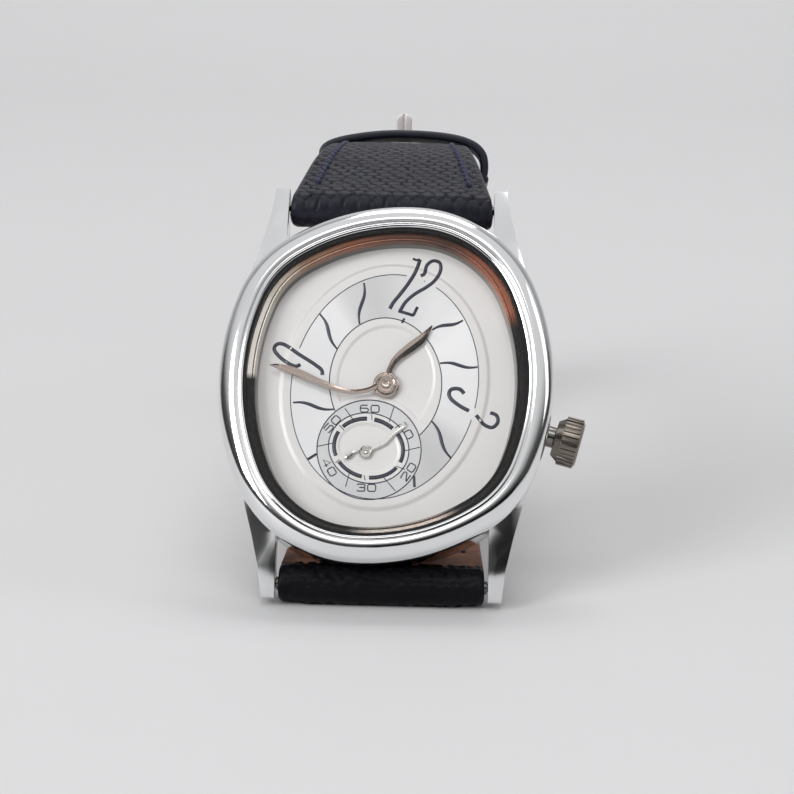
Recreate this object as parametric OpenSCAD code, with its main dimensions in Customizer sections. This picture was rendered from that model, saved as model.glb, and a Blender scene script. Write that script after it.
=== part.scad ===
// Oval dress watch on a leather strap, standing half open on its strap.
// Case pieces are drawn in the case frame (x to the right, y towards 12, z out of the face)
// and leaned back into the stance. Strap pieces are drawn where they stand.

/* [Case] */
// half length of the bezel, from 12 to 6
bezel_long = 21.4; // [18:0.1:27]
// half width of the bezel, from 9 to 3
bezel_short = 19.3; // [17:0.1:21.5]
// radius of the bezel's wide corners, near 1 and 7
corner_r = 15.3; // [11:0.1:17]
// radius of the bezel's tight corners, near 10 and 4
tight_r = 13.3; // [11:0.1:17]
// turn of the oval and of its dial clockwise from the strap
face_turn = 15; // [0:1:25]
// height of the case middle
middle_h = 6; // [5:0.1:8]
// height of the bezel above the case middle
bezel_h = 2.4; // [1.8:0.1:3.2]
// width of the bezel ring seen from the front
bezel_w = 2.9; // [2.6:0.1:4]
// thickness of the case back
back_t = 1; // [0.8:0.1:1.6]
// width of the ledge under the edge of the glass
ledge_w = 0.9; // [0.7:0.1:1.3]
// least width of the ring that holds the movement in the case
holder_w = 2.7; // [1.5:0.1:4]

/* [Dial] */
// thickness of the dial plate
dial_t = 0.4; // [0.3:0.05:0.6]
// height from the dial to the glass
dial_depth = 2; // [1.8:0.1:2.6]
// thickness of the glass
glass_t = 1.1; // [0.8:0.1:1.5]
// distance of the small seconds from the centre, in a movement of the stated radius
sub_dist = 8.1; // [7.6:0.1:8.4]
// radius of the sunk small seconds disc
sub_r = 3.5; // [2.5:0.1:4.5]

/* [Hands] */
// gap between the tip of the minute hand and the ring round the dial, at 3
minute_gap = 0.85; // [0.5:0.05:4]
// length of the hour hand from its centre
hour_len = 8.9; // [6:0.1:10]
// length of the small seconds hand
second_len = 5.1; // [3.5:0.1:5.6]

/* [Lugs and bars] */
// free width between the lugs
lug_gap = 24; // [20:0.5:26]
// distance of each spring bar beyond the half length of the bezel
bar_out = 1; // [0.2:0.1:3]
// height of the spring bars, from the dial
bar_z = -3.4; // [-3.8:0.1:-3]
// radius of a spring bar's tube
bar_r = 0.75; // [0.6:0.05:0.9]
// width of a lug at its tip
lug_w = 1.5; // [1.3:0.1:2.4]

/* [Crown] */
// radius of the crown over its ribs
crown_r = 2.85; // [2.2:0.05:3.4]
// length of the ribbed part
crown_len = 1.9; // [1.5:0.1:3]
// number of ribs round the crown
crown_ribs = 30; // [20:1:40]

/* [Strap] */
// thickness of the strap at the lugs
strap_t = 4.4; // [3.6:0.1:4.8]
// thickness of the strap at the buckle and at the tail
tail_t = 2.3; // [1.8:0.1:2.8]
// thickness of the suede lining
lining_t = 0.9; // [0.6:0.1:1.1]
// width of the strap at the buckle
buckle_w = 18; // [14:0.5:20]
// width of the long strap at its tail
tail_w = 16.5; // [13:0.5:18]
// length of the long strap that lies flat
flat_len = 57.4; // [45:0.1:66]
// bend radius where the long strap rises
tail_bend = 48; // [40:1:60]
// angle by which the long strap rises
tail_angle = 45; // [20:1:50]
// length of the straight tail, tip included
tail_len = 15; // [12:0.5:18]
// number of holes in the long strap
hole_count = 7; // [5:1:9]
// spacing of the strap holes
hole_pitch = 6.5; // [5:0.1:7]
// radius of a strap hole
hole_r = 0.95; // [0.7:0.05:1.1]
// straight run of the short strap behind the lugs
rise_len = 10; // [8:0.5:14]
// bend radius of the short strap
crest_bend = 60; // [50:1:80]
// straight run of the short strap before the buckle
drop_len = 18; // [16:0.5:24]

/* [Keepers and buckle] */
// thickness of the keeper leather
keeper_t = 1; // [0.8:0.1:1.4]
// length of a keeper along the strap
keeper_len = 5.5; // [4:0.1:7]
// place of the free keeper along the short strap
free_at = 37; // [34:0.5:40]
// place of the fixed keeper along the short strap
fixed_at = 52; // [50:0.1:53.5]
// thickness of the buckle's wire
frame_t = 1.8; // [1.4:0.1:2.4]
// reach of the buckle beyond its bar
frame_len = 9.2; // [8:0.1:12]
// length of the buckle tongue
tongue_len = 11.6; // [10.5:0.1:13]

/* [Stance] */
// angle by which the face looks up
lean = 27.6; // [20:0.1:32]
// slope of the short strap as it leaves the lugs
rise_angle = 11; // [5:1:14]
// slope of the short strap at the buckle, downwards
drop_angle = 20; // [14:1:24]

/* [Hidden] */
$fn = 72;

// clearances and small shared sizes
run_fit = 0.05;
side_gap = 0.3;
pocket_gap = 0.4;
through = 0.5;
half = 0.5;
lug_play = 0.1;

// stance: the lower bar's roll touches the ground, and the origin lies under the flat strap
roll_r = strap_t / 2;
bar_y = bezel_long + bar_out;
face_up = sin(lean);
face_side = cos(lean);
stand_z = roll_r - (face_up * bar_z - face_side * bar_y);
lower_bar_y = -face_side * bar_z - face_up * bar_y;
stand_y = -(lower_bar_y + flat_len / 2);
lower_bar = [stand_y + lower_bar_y, roll_r];
upper_bar = [stand_y - face_side * bar_z + face_up * bar_y, stand_z + face_up * bar_z + face_side * bar_y];

// the oval is four tangent arcs, repeated after half a turn: a side, a wide corner, an end and
// a tight corner. Their centres are fixed, so every offset of it is exact. Radii are whole micrometres
arc_from = [-6.4, 37.5, 101.7, 138.8, 173.6];
across_side = 1 - (cos(arc_from[0]) + cos(arc_from[1])) / 2;
across_end = (cos(arc_from[2]) - cos(arc_from[3])) / 2;
along_side = (sin(arc_from[1]) - sin(arc_from[0])) / 2;
along_end = (sin(arc_from[2]) - sin(arc_from[3])) / 2;
across_corner = corner_r * (cos(arc_from[1]) - cos(arc_from[2])) / 2;
along_corner = corner_r * (1 - (sin(arc_from[1]) + sin(arc_from[2])) / 2);
across_rest = bezel_short - across_corner - tight_r * (cos(arc_from[3]) + cos(arc_from[0])) / 2;
along_rest = bezel_long - along_corner - tight_r * (sin(arc_from[3]) + sin(arc_from[0])) / 2;
arc_det = across_side * along_end - across_end * along_side;
side_r = round(1000 * (across_rest * along_end - across_end * along_rest) / arc_det) / 1000;
end_r = round(1000 * (across_side * along_rest - along_side * across_rest) / arc_det) / 1000;
arc_r = [side_r, corner_r, end_r, tight_r, side_r];
arc_step = [for (i = [0:3]) (arc_r[i] - arc_r[i + 1]) * [cos(arc_from[i + 1]), sin(arc_from[i + 1])]];
side_c = -(arc_step[0] + arc_step[1] + arc_step[2] + arc_step[3]) / 2;
corner_c = side_c + arc_step[0];
end_c = corner_c + arc_step[1];
arc_c = [side_c, corner_c, end_c, end_c + arc_step[2]];
core_off = -6;
arc_far = 20;

// heights in the case frame, from the dial's upper face
middle_top = 1.2;
middle_bot = middle_top - middle_h;
bezel_top = middle_top + bezel_h;
lug_bot = middle_bot + 0.25;
back_bot = middle_bot - back_t;
ledge_z = dial_depth;
glass_off = -bezel_w - 0.35;
wall_w = bezel_w + ledge_w;
cavity_off = -wall_w;
dial_off = cavity_off - 0.1;
middle_off = -0.35;
rehaut_in = 0.85;
rehaut_slope = 0.35;
back_off = -1.2;

// movement sizes, laid out for a movement of 12.8 mm radius and scaled in plan to the case
layout_r = 12.8;
move_r = bezel_short - wall_w - holder_w;
plan = move_r / layout_r;
sub_y = sub_dist * plan;
plate_top = -dial_t - 0.1;
plate_bot = -1.9;
works_floor = -1.15;
works_r = 5.6 * plan;
bridge_top = -3.62;
bridge_bot = -4.15;
wheel_t = 0.2;
level_a = -2.35;
level_b = -2.95;
level_c = -3.4;
third_at = plan * [-4.3, -4.9];
fourth_at = [0, -sub_y];
escape_dist = 4.4 * plan;
escape_turn = -17;
escape_at = [escape_dist * cos(escape_turn), -sub_y + escape_dist * sin(escape_turn)];
barrel_dist = 6.7 * plan;
barrel_turn = 110;
barrel_at = [barrel_dist * cos(barrel_turn), barrel_dist * sin(barrel_turn)];
barrel_arbor_r = 0.45;
crown_wheel_at = plan * [6.4, 4.4];
fork_at = plan * [5.9, -6.7];
balance_at = plan * [6.6, -3.2];
balance_r = 3.2 * plan;
minute_wheel_dist = 3 * plan;
minute_wheel_turn = 30;
minute_wheel_at = [minute_wheel_dist * cos(minute_wheel_turn), minute_wheel_dist * sin(minute_wheel_turn)];
arbor_r = 0.25;
pivot_r = 0.12;
pivot_play = 0.05;

// hand stack
cannon_r = 0.45;
pipe_r = 0.75;
dial_hole_r = 1.1;
minute_len = bezel_short + dial_off - rehaut_in - minute_gap;
hour_z = 0.55;
minute_z = 1.05;
second_z = 0.3;
hand_t = 0.16;

// crown line
crown_z = -2;
crown_start = bezel_short + 0.7;
crown_cone = 1;
tube_r = 1.2;
stem_r = 0.5;
stem_end = move_r - 3.2;
tube_in = bezel_short - 3.4;

// strap paths
path_n = 24;
crest_turn = rise_angle + drop_angle;
crest_len = crest_bend * crest_turn * PI / 180;
short_len = rise_len + crest_len + drop_len;
tail_arc = tail_bend * tail_angle * PI / 180;
long_len = flat_len + tail_arc + tail_len;
strap_w = lug_gap - 2 * side_gap;
buckle_bar_r = 0.7;
end_roll_r = tail_t / 2 + 0.25;
tongue_gap = 3.4;
slot_len = 2.2;
keeper_fit = 0.3;
keeper_room = tail_t + keeper_fit;
keeper_low = 0.7;
keeper_side = 1.2;

function turned(p, a) = [p[0] * cos(a) - p[1] * sin(a), p[0] * sin(a) + p[1] * cos(a)];

// tooth outline of a wheel: count, pitch radius, module
function teeth(z, r, m) = [
  for (i = [0:z - 1], k = [0:3])
    let (
      step = 360 / z,
      turn = (i + (k == 0 ? -0.25 : k == 1 ? -0.1 : k == 2 ? 0.1 : 0.25)) * step,
      rad = (k == 1 || k == 2) ? r + 0.75 * m : r - 1.15 * m
    )
    [rad * cos(turn), rad * sin(turn)]
];

// slope and place along the short strap's middle line, from the upper bar
function short_slope(s) =
  s < rise_len ? rise_angle :
  s < rise_len + crest_len ? rise_angle - (s - rise_len) / crest_bend * 180 / PI :
  -drop_angle;
function short_arc(a) = crest_bend * [sin(rise_angle) - sin(a), cos(a) - cos(rise_angle)];
function short_at(s) = let (a = short_slope(s))
  upper_bar
  + min(s, rise_len) * [cos(rise_angle), sin(rise_angle)]
  + short_arc(a)
  + max(s - rise_len - crest_len, 0) * [cos(drop_angle), -sin(drop_angle)];
function short_t(s) = strap_t + (tail_t - strap_t) * s / short_len;
function short_off(s, d) = short_at(s) + d * [-sin(short_slope(s)), cos(short_slope(s))];

// place and slope along the long strap's outer face, from below the lower bar
function long_slope(s) =
  s < flat_len ? 0 :
  s < flat_len + tail_arc ? (s - flat_len) / tail_bend * 180 / PI :
  tail_angle;
function long_at(s) = let (a = long_slope(s))
  [lower_bar[0], 0]
  + min(s, flat_len) * [1, 0]
  + tail_bend * [sin(a), 1 - cos(a)]
  + max(s - flat_len - tail_arc, 0) * [cos(tail_angle), sin(tail_angle)];
function long_t(s) = strap_t + (tail_t - strap_t) * s / long_len;
function long_off(s, d) = long_at(s) + d * [-sin(long_slope(s)), cos(long_slope(s))];

buckle_at = short_at(short_len);

module stand() {
  translate([0, stand_y, stand_z])
    rotate([90 - lean, 0, 0])
      children();
}

// turns children with the face
module faced() {
  rotate([0, 0, -face_turn])
    children();
}

// a place at an offset from one of the oval's arcs
function arc_place(k, a, off) = arc_c[k] + (arc_r[k] + off) * [cos(a), sin(a)];

// moves children to an arc's centre, in hundredths of a millimetre and then by the rest
module at_arc(k) {
  near = [round(100 * arc_c[k][0]) / 100, round(100 * arc_c[k][1]) / 100, 0];
  translate(near)
    translate([arc_c[k][0] - near[0], arc_c[k][1] - near[1], 0])
      children();
}

// the part of the oval's plan that one arc bounds, outside the core
module arc_sector(k) {
  polygon([
    arc_place(k, arc_from[k], core_off),
    arc_place(k, arc_from[k], arc_far),
    arc_place(k, arc_from[k + 1], arc_far),
    arc_place(k, arc_from[k + 1], core_off)
  ]);
}

// a ring along the oval: points are offset from the bezel's edge, and height
module oval_ring(pts) {
  for (m = [0, 180], k = [0:3])
    rotate([0, 0, m])
      intersection() {
        at_arc(k)
          rotate_extrude()
            polygon([for (p = pts) [arc_r[k] + p[0], p[1]]]);
        translate([0, 0, back_bot - through])
          linear_extrude(height = middle_h + bezel_h + back_t + 2 * through)
            arc_sector(k);
      }
}

// an upright oval plate at an offset from the bezel's edge
module oval_plate(off, low, high) {
  translate([0, 0, low])
    linear_extrude(height = high - low)
      union() {
        polygon([
          for (m = [0, 180], k = [0:3])
            turned(arc_place(k, arc_from[k], core_off), m)
        ]);
        for (m = [0, 180], k = [0:3])
          rotate([0, 0, m])
            intersection() {
              at_arc(k)
                circle(r = arc_r[k] + off);
              arc_sector(k);
            }
      }
}

// a bar across the watch at the lug bars
module cross_bar(y, r, len) {
  translate([0, y, bar_z])
    rotate([0, 90, 0])
      cylinder(r = r, h = len, center = true);
}

// the room that the folded strap needs behind a lug bar
module strap_pocket() {
  reach = bar_y;
  cross_bar(-bar_y, roll_r + pocket_gap, lug_gap);
  translate([0, -bar_y, bar_z])
    rotate([lean - 90, 0, 0])
      translate([-lug_gap / 2, 0, -roll_r - reach])
        cube([lug_gap, reach, 2 * roll_r + reach + pocket_gap / 2]);
}

lug_root = 6;

module lug_side() {
  tip = bar_y + 1.9;
  rotate([90, 0, 90])
    linear_extrude(height = bezel_short)
      polygon([
        [lug_root, middle_top - 0.2],
        [bar_y - 8.4, middle_top - 0.3],
        [bar_y - 1.5, -0.6],
        [tip, bar_z + 1.5],
        [tip, bar_z + 0.2],
        [bar_y + 0.8, bar_z - 1.5],
        [bar_y - 5.4, lug_bot],
        [lug_root, lug_bot]
      ]);
}

module lug_plan() {
  in_x = lug_gap / 2;
  out_x = in_x + lug_w;
  tip = bar_y + 2;
  flare = bezel_short - 2.6 - out_x;
  translate([0, 0, back_bot])
    linear_extrude(height = middle_h + bezel_h)
      polygon([
        [in_x, lug_root],
        [out_x + flare, lug_root],
        [out_x + 0.923 * flare, tip - 14.4],
        [out_x + 0.692 * flare, tip - 10.8],
        [out_x + 0.359 * flare, tip - 6.8],
        [out_x + 0.128 * flare, tip - 3.5],
        [out_x, tip],
        [in_x, tip]
      ]);
}

module case_middle() {
  color("silver")
    stand()
      difference() {
        union() {
          faced()
            oval_plate(middle_off, middle_bot, middle_top);
          for (sx = [0, 1], sy = [0, 1])
            mirror([sx, 0, 0])
              mirror([0, sy, 0])
                intersection() {
                  lug_plan();
                  lug_side();
                }
        }
        faced()
          oval_plate(cavity_off, middle_bot - through, middle_top + through);
        strap_pocket();
        rotate([0, 0, 180])
          strap_pocket();
        for (s = [-1, 1])
          cross_bar(s * bar_y, bar_r - 0.25 + run_fit, lug_gap + 2 * (lug_w - 0.5));
        crown_hole(tube_r);
        faced()
          screw_places(middle_bot - through, 1.8 + through, screw_r);
      }
}

screw_r = 0.5;
screw_head_r = 0.9;
screw_head_t = 0.5;
screw_off = back_off - 1.35;
screw_at = [
  for (m = [0, 180], k = [1, 3])
    turned(arc_place(k, (arc_from[k] + arc_from[k + 1]) / 2, screw_off), m)
];

module screw_places(z, h, r) {
  for (p = screw_at)
    translate([p[0], p[1], z])
      cylinder(r = r, h = h);
}

module crown_hole(r) {
  faced()
    translate([cavity_hole_x(), 0, crown_z])
      rotate([0, 90, 0])
        cylinder(r = r, h = bezel_short);
}

function cavity_hole_x() = bezel_short - wall_w - 1.5;

module bezel() {
  color("gainsboro")
    stand()
      faced()
        oval_ring([
          [0, middle_top],
          [0, middle_top + 0.5],
          [-0.25, middle_top + bezel_h * 0.45],
          [-0.8, middle_top + bezel_h * 0.68],
          [-1.6, middle_top + bezel_h * 0.87],
          [-2.4, middle_top + bezel_h * 0.97],
          [-2.9, bezel_top],
          [-bezel_w, bezel_top - 0.25],
          [-bezel_w, ledge_z],
          [cavity_off, ledge_z],
          [cavity_off, middle_top]
        ]);
}

module crystal() {
  color([0.85, 0.92, 0.95, 0.4])
    stand()
      faced()
        oval_plate(glass_off, ledge_z, ledge_z + glass_t);
}

module crystal_gasket() {
  color("black")
    stand()
      faced()
        oval_ring([
          [glass_off, ledge_z],
          [glass_off, ledge_z + glass_t - 0.1],
          [-bezel_w, ledge_z + glass_t - 0.1],
          [-bezel_w, ledge_z]
        ]);
}

module rehaut_ring() {
  color("dimgray")
    stand()
      faced()
        oval_ring([
          [dial_off, 0],
          [dial_off, ledge_z],
          [dial_off - rehaut_in + rehaut_slope, ledge_z],
          [dial_off - rehaut_in, 0]
        ]);
}

module dial() {
  color("white")
    stand()
      faced()
        difference() {
          oval_plate(dial_off, -dial_t, 0);
          translate([0, 0, -dial_t - through])
            cylinder(r = dial_hole_r, h = dial_t + 2 * through);
          translate([0, -sub_y, -dial_t - through])
            cylinder(r = 0.4, h = dial_t + 2 * through);
          translate([0, -sub_y, -dial_t / 2])
            cylinder(r = sub_r, h = dial_t);
        }
}

module case_back() {
  color("lightgray")
    stand()
      difference() {
        faced()
          oval_plate(back_off, back_bot, middle_bot);
        strap_pocket();
        rotate([0, 0, 180])
          strap_pocket();
        faced()
          gasket_ring();
        faced()
          screw_places(back_bot - through, back_t + 2 * through, screw_r + run_fit);
        faced()
          screw_places(back_bot - through, through + screw_head_t, screw_head_r + run_fit);
      }
}

module gasket_ring() {
  oval_ring([
    [cavity_off + 0.5, middle_bot],
    [cavity_off + 0.5, middle_bot - 0.3],
    [cavity_off + 0.15, middle_bot - 0.3],
    [cavity_off + 0.15, middle_bot]
  ]);
}

module case_back_gasket() {
  color("black")
    stand()
      faced()
        gasket_ring();
}

module case_back_screws() {
  color("darkgray")
    stand()
      faced()
        difference() {
          union() {
            screw_places(back_bot, back_t + 1.6, screw_r);
            screw_places(back_bot, screw_head_t, screw_head_r);
          }
          screw_slots();
        }
}

module screw_slots() {
  for (p = screw_at)
    translate([p[0], p[1], back_bot])
      cube([2 * screw_head_r + through, 0.22, 0.4], center = true);
}

module movement_holder() {
  color("tan")
    stand()
      faced()
        difference() {
          oval_plate(dial_off, -3.6, -dial_t);
          translate([0, 0, -3.6 - through])
            cylinder(r = move_r + run_fit, h = 4 + through);
          translate([0, 0, crown_z])
            rotate([0, 90, 0])
              cylinder(r = tube_r, h = bezel_short);
        }
}

// a flat hand: outline points on both sides of its middle line, and a bored hub
module hand(pts, hub_r, bore_r, z) {
  translate([0, 0, z])
    linear_extrude(height = hand_t)
      difference() {
        union() {
          polygon(concat(
            [for (p = pts) [p[0] + p[2], p[1]]],
            [for (i = [len(pts) - 1:-1:0]) [pts[i][0] - pts[i][2], pts[i][1]]]
          ));
          circle(r = hub_r);
        }
        circle(r = bore_r);
      }
}

hour_turn = -38;
minute_turn = 80.5;
second_turn = -56;

module hour_hand() {
  color("rosybrown")
    stand()
      rotate([0, 0, hour_turn])
        hand([
          [0, 0.8, 0.12],
          [0, hour_len * 0.3, 0.16],
          [0, hour_len * 0.5, 0.5],
          [0, hour_len * 0.62, 0.66],
          [0, hour_len * 0.78, 0.42],
          [0, hour_len, 0.06]
        ], 1.2, pipe_r, hour_z);
}

module minute_hand() {
  color("rosybrown")
    stand() {
      rotate([0, 0, minute_turn])
        hand([
          [0, 0.6, 0.12],
          [0, minute_len * 0.35, 0.2],
          [0, minute_len * 0.55, 0.52],
          [0, minute_len * 0.68, 0.68],
          [0, minute_len * 0.84, 0.4],
          [0, minute_len, 0.06]
        ], 0.95, cannon_r, minute_z);
      difference() {
        translate([0, 0, minute_z + hand_t])
          cylinder(r = 0.65, h = 0.12);
        translate([0, 0, minute_z])
          cylinder(r = cannon_r - 0.1, h = hand_t + 0.05);
      }
    }
}

module seconds_hand() {
  color("silver")
    stand()
      faced()
        translate([0, -sub_y, 0])
          rotate([0, 0, face_turn + second_turn]) {
            hand([
              [0, -3.1, 0.28],
              [0, -2.6, 0.42],
              [0, -2, 0.28],
              [0, -0.6, 0.16],
              [0, 0.4, 0.14],
              [0, second_len, 0.05]
            ], 0.6, 0.2, second_z);
          }
}

module foot_at(p) {
  translate([p[0], p[1], bridge_top])
    cylinder(r = foot_r, h = plate_bot - bridge_top);
}

foot_r = 0.75 * plan;
barrel_feet = plan * [[7.5, 8.6], [-11, 2.2], [7.2, 2.1]];
train_feet = plan * [[-9.8, -7], [-4.2, -11], [9, -8]];
cock_foot = plan * [11.2, -2.2];
flat_screw_r = 0.35 * plan;

module screw_bores() {
  for (p = concat(barrel_feet, train_feet, [cock_foot]))
    translate([p[0], p[1], bridge_bot])
      cylinder(r = flat_screw_r, h = 1.6);
}

module pivot_hole(p, r) {
  translate([p[0], p[1], bridge_bot - through])
    cylinder(r = r + pivot_play, h = bridge_top - bridge_bot + 2 * through);
}

module bridge_plate(pts) {
  translate([0, 0, bridge_bot])
    linear_extrude(height = bridge_top - bridge_bot)
      intersection() {
        circle(r = move_r - 0.4);
        polygon(plan * pts);
      }
}

module mainplate() {
  color("khaki")
    stand()
      faced()
        difference() {
          translate([0, 0, plate_bot])
            cylinder(r = move_r, h = plate_top - plate_bot);
          translate([0, 0, works_floor])
            difference() {
              cylinder(r = works_r, h = 2);
              translate([minute_wheel_at[0], minute_wheel_at[1], -through])
                cylinder(r = arbor_r, h = 1.05);
            }
          translate([0, 0, plate_bot - through])
            cylinder(r = arbor_r + pivot_play, h = 3);
          translate([0, -sub_y, plate_bot - through])
            cylinder(r = 0.2 + pivot_play, h = 3);
          for (p = [third_at, escape_at, fork_at, balance_at])
            translate([p[0], p[1], plate_bot - through])
              cylinder(r = pivot_r + pivot_play, h = through + 0.4);
          translate([barrel_at[0], barrel_at[1], plate_bot - through])
            cylinder(r = barrel_arbor_r + pivot_play, h = through + 0.5);
          translate([stem_end - 0.3, 0, crown_z])
            rotate([0, 90, 0])
              cylinder(r = stem_r + run_fit, h = move_r);
        }
}

module barrel_bridge() {
  color("darkkhaki")
    stand()
      faced()
        difference() {
          union() {
            bridge_plate([[-12.6, -1.2], [1.6, -1.2], [1.6, 0.6], [12.6, 1.2], [12.6, 13], [-12.6, 13]]);
            for (p = barrel_feet)
              foot_at(p);
            translate([crown_wheel_at[0], crown_wheel_at[1], bridge_bot - 0.25])
              cylinder(r = 0.5, h = 0.5);
          }
          pivot_hole([0, 0], pivot_r);
          pivot_hole(barrel_at, barrel_arbor_r);
          screw_bores();
        }
}

module train_bridge() {
  color("darkkhaki")
    stand()
      faced()
        difference() {
          union() {
            bridge_plate([
              [-12.6, -1.5], [1.9, -1.5], [2.2, -5.7], [7, -5.9],
              [7.6, -7], [10.4, -7], [10.4, -13], [-12.6, -13]
            ]);
            for (p = train_feet)
              foot_at(p);
          }
          for (p = [third_at, fourth_at, escape_at, fork_at])
            pivot_hole(p, pivot_r);
          screw_bores();
        }
}

module balance_cock() {
  color("darkkhaki")
    stand()
      faced()
        difference() {
          union() {
            bridge_plate([[4.2, -4.6], [8, -5.2], [12.6, -4.6], [12.6, -0.2], [8, -1], [4.4, -1.9]]);
            foot_at(cock_foot);
          }
          pivot_hole(balance_at, pivot_r);
          screw_bores();
        }
}

module bridge_screws() {
  color("slategray")
    stand()
      faced()
        screw_bores();
}

// a toothed wheel with four windows
module wheel(z, r, m, level, bore) {
  translate([0, 0, level])
    linear_extrude(height = wheel_t)
      difference() {
        polygon(teeth(z, r, m));
        circle(r = bore);
        if (r > 3)
          for (a = [45:90:315])
            translate(0.55 * r * [cos(a), sin(a)])
              circle(r = 0.2 * r);
      }
}

module arbor(low, high, r) {
  translate([0, 0, low])
    cylinder(r = r, h = high - low);
}

third_dist = norm(third_at);
third_m = 2 * third_dist / 72;
fourth_dist = norm(third_at - fourth_at);
fourth_m = 2 * fourth_dist / 68;
escape_m = 2 * escape_dist / 66;
barrel_m = 2 * barrel_dist / 84;
works_1 = 2 * minute_wheel_dist / 48;
works_2 = 2 * minute_wheel_dist / 50;
wind_m = 2 * norm(barrel_at - crown_wheel_at) / 70;

function way(p, q) = atan2(q[1] - p[1], q[0] - p[0]);

module centre_wheel() {
  color("goldenrod")
    stand()
      faced() {
        rotate([0, 0, way([0, 0], third_at)])
          wheel(64, 32 * third_m, third_m, level_a, 0.1);
        rotate([0, 0, barrel_turn + 15])
          wheel_pinion(12, 6 * barrel_m, barrel_m, level_c, level_c + 0.5);
        arbor(bridge_top + 0.02, cannon_r + 0.1, arbor_r);
        arbor(bridge_bot + 0.1, bridge_top + 0.03, pivot_r);
      }
}

module wheel_pinion(z, r, m, low, high) {
  translate([0, 0, low])
    linear_extrude(height = high - low)
      polygon(teeth(z, r, m));
}

module third_wheel() {
  color("goldenrod")
    stand()
      faced()
        translate([third_at[0], third_at[1], 0]) {
          rotate([0, 0, way(third_at, [0, 0]) + 180 / 8])
            wheel_pinion(8, 4 * third_m, third_m, level_a - 0.05, level_a + wheel_t + 0.05);
          rotate([0, 0, way(third_at, fourth_at)])
            wheel(60, 30 * fourth_m, fourth_m, level_b, 0.1);
          arbor(bridge_top + 0.02, plate_bot - 0.02, 0.2);
          arbor(bridge_bot + 0.1, plate_bot + 0.3, pivot_r);
        }
}

module fourth_wheel() {
  color("goldenrod")
    stand()
      faced()
        translate([fourth_at[0], fourth_at[1], 0]) {
          rotate([0, 0, way(fourth_at, third_at) + 180 / 8])
            wheel_pinion(8, 4 * fourth_m, fourth_m, level_b - 0.05, level_b + wheel_t + 0.05);
          rotate([0, 0, escape_turn])
            wheel(60, 30 * escape_m, escape_m, level_c, 0.1);
          arbor(bridge_top + 0.02, second_z + hand_t, 0.2);
          arbor(bridge_bot + 0.1, bridge_top + 0.03, pivot_r);
        }
}

module escape_wheel() {
  color("goldenrod")
    stand()
      faced()
        translate([escape_at[0], escape_at[1], 0]) {
          rotate([0, 0, escape_turn + 180 + 180 / 6])
            wheel_pinion(6, 3 * escape_m, escape_m, level_c - 0.05, level_c + wheel_t + 0.05);
          wheel(15, 1.7 * plan, 0.4 * plan, level_a, 0.08);
          arbor(bridge_top + 0.02, plate_bot - 0.02, 0.15);
          arbor(bridge_bot + 0.1, plate_bot + 0.3, pivot_r);
        }
}

module pallet_fork() {
  color("silver")
    stand()
      faced()
        translate([fork_at[0], fork_at[1], 0]) {
          translate([0, 0, level_a])
            linear_extrude(height = wheel_t)
              union() {
                circle(r = 0.4);
                rotate([0, 0, way(fork_at, balance_at)])
                  translate([0, -0.15])
                    square([2.6 * plan, 0.3]);
                for (a = [-50, 50])
                  rotate([0, 0, way(fork_at, escape_at) + a])
                    translate([0, -0.2])
                      square([1.6 * plan, 0.4]);
              }
          arbor(bridge_top + 0.02, plate_bot - 0.02, 0.15);
          arbor(bridge_bot + 0.1, plate_bot + 0.3, pivot_r);
        }
}

module balance_wheel() {
  color("gold")
    stand()
      faced()
        translate([balance_at[0], balance_at[1], 0]) {
          translate([0, 0, level_c + 0.15])
            linear_extrude(height = 0.3)
              union() {
                difference() {
                  circle(r = balance_r);
                  circle(r = balance_r - 0.45);
                }
                square([2 * balance_r - 0.5, 0.35], center = true);
              }
          arbor(level_a, level_a + 0.3, 0.45);
          arbor(bridge_top + 0.02, plate_bot - 0.02, 0.15);
          arbor(bridge_bot + 0.1, plate_bot + 0.3, pivot_r);
        }
}

// flat spiral from the collet to the stud
module hairspring() {
  inner = 0.4;
  pitch = 0.32 * plan;
  turns = 4;
  steps = 24 * turns;
  color("steelblue")
    stand()
      faced()
        translate([balance_at[0], balance_at[1], 0]) {
          translate([0, 0, level_c - 0.1])
            linear_extrude(height = 0.12)
              polygon(concat(
                [for (i = [0:steps]) turned([inner + pitch * i / 24, 0], i * 15)],
                [for (i = [steps:-1:0]) turned([inner + 0.06 + pitch * i / 24, 0], i * 15)]
              ));
          translate([inner + pitch * turns, -0.15, bridge_top])
            cube([0.3, 0.3, level_c - 0.1 - bridge_top + 0.12]);
        }
}

module barrel() {
  color("burlywood")
    stand()
      faced()
        translate([barrel_at[0], barrel_at[1], 0])
          difference() {
            union() {
              rotate([0, 0, barrel_turn + 180])
                wheel_pinion(72, 36 * barrel_m, barrel_m, level_c + 0.05, level_c + 0.35);
              arbor(level_c + 0.05, level_c + 0.85, 36 * barrel_m - 0.35);
            }
            arbor(level_c - through, level_c + 2, barrel_arbor_r + pivot_play);
          }
}

module ratchet_wheel() {
  color("silver")
    stand()
      faced()
        translate([barrel_at[0], barrel_at[1], 0]) {
          rotate([0, 0, way(barrel_at, crown_wheel_at)])
            wheel(40, 20 * wind_m, wind_m, bridge_bot - 0.25, 0.1);
          arbor(bridge_bot - 0.25, plate_bot + 0.3, barrel_arbor_r);
        }
}

module crown_wheel() {
  color("silver")
    stand()
      faced()
        translate([crown_wheel_at[0], crown_wheel_at[1], 0])
          rotate([0, 0, way(crown_wheel_at, barrel_at) + 180 / 30])
            wheel(30, 15 * wind_m, wind_m, bridge_bot - 0.25, 0.5 + pivot_play);
}

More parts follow.
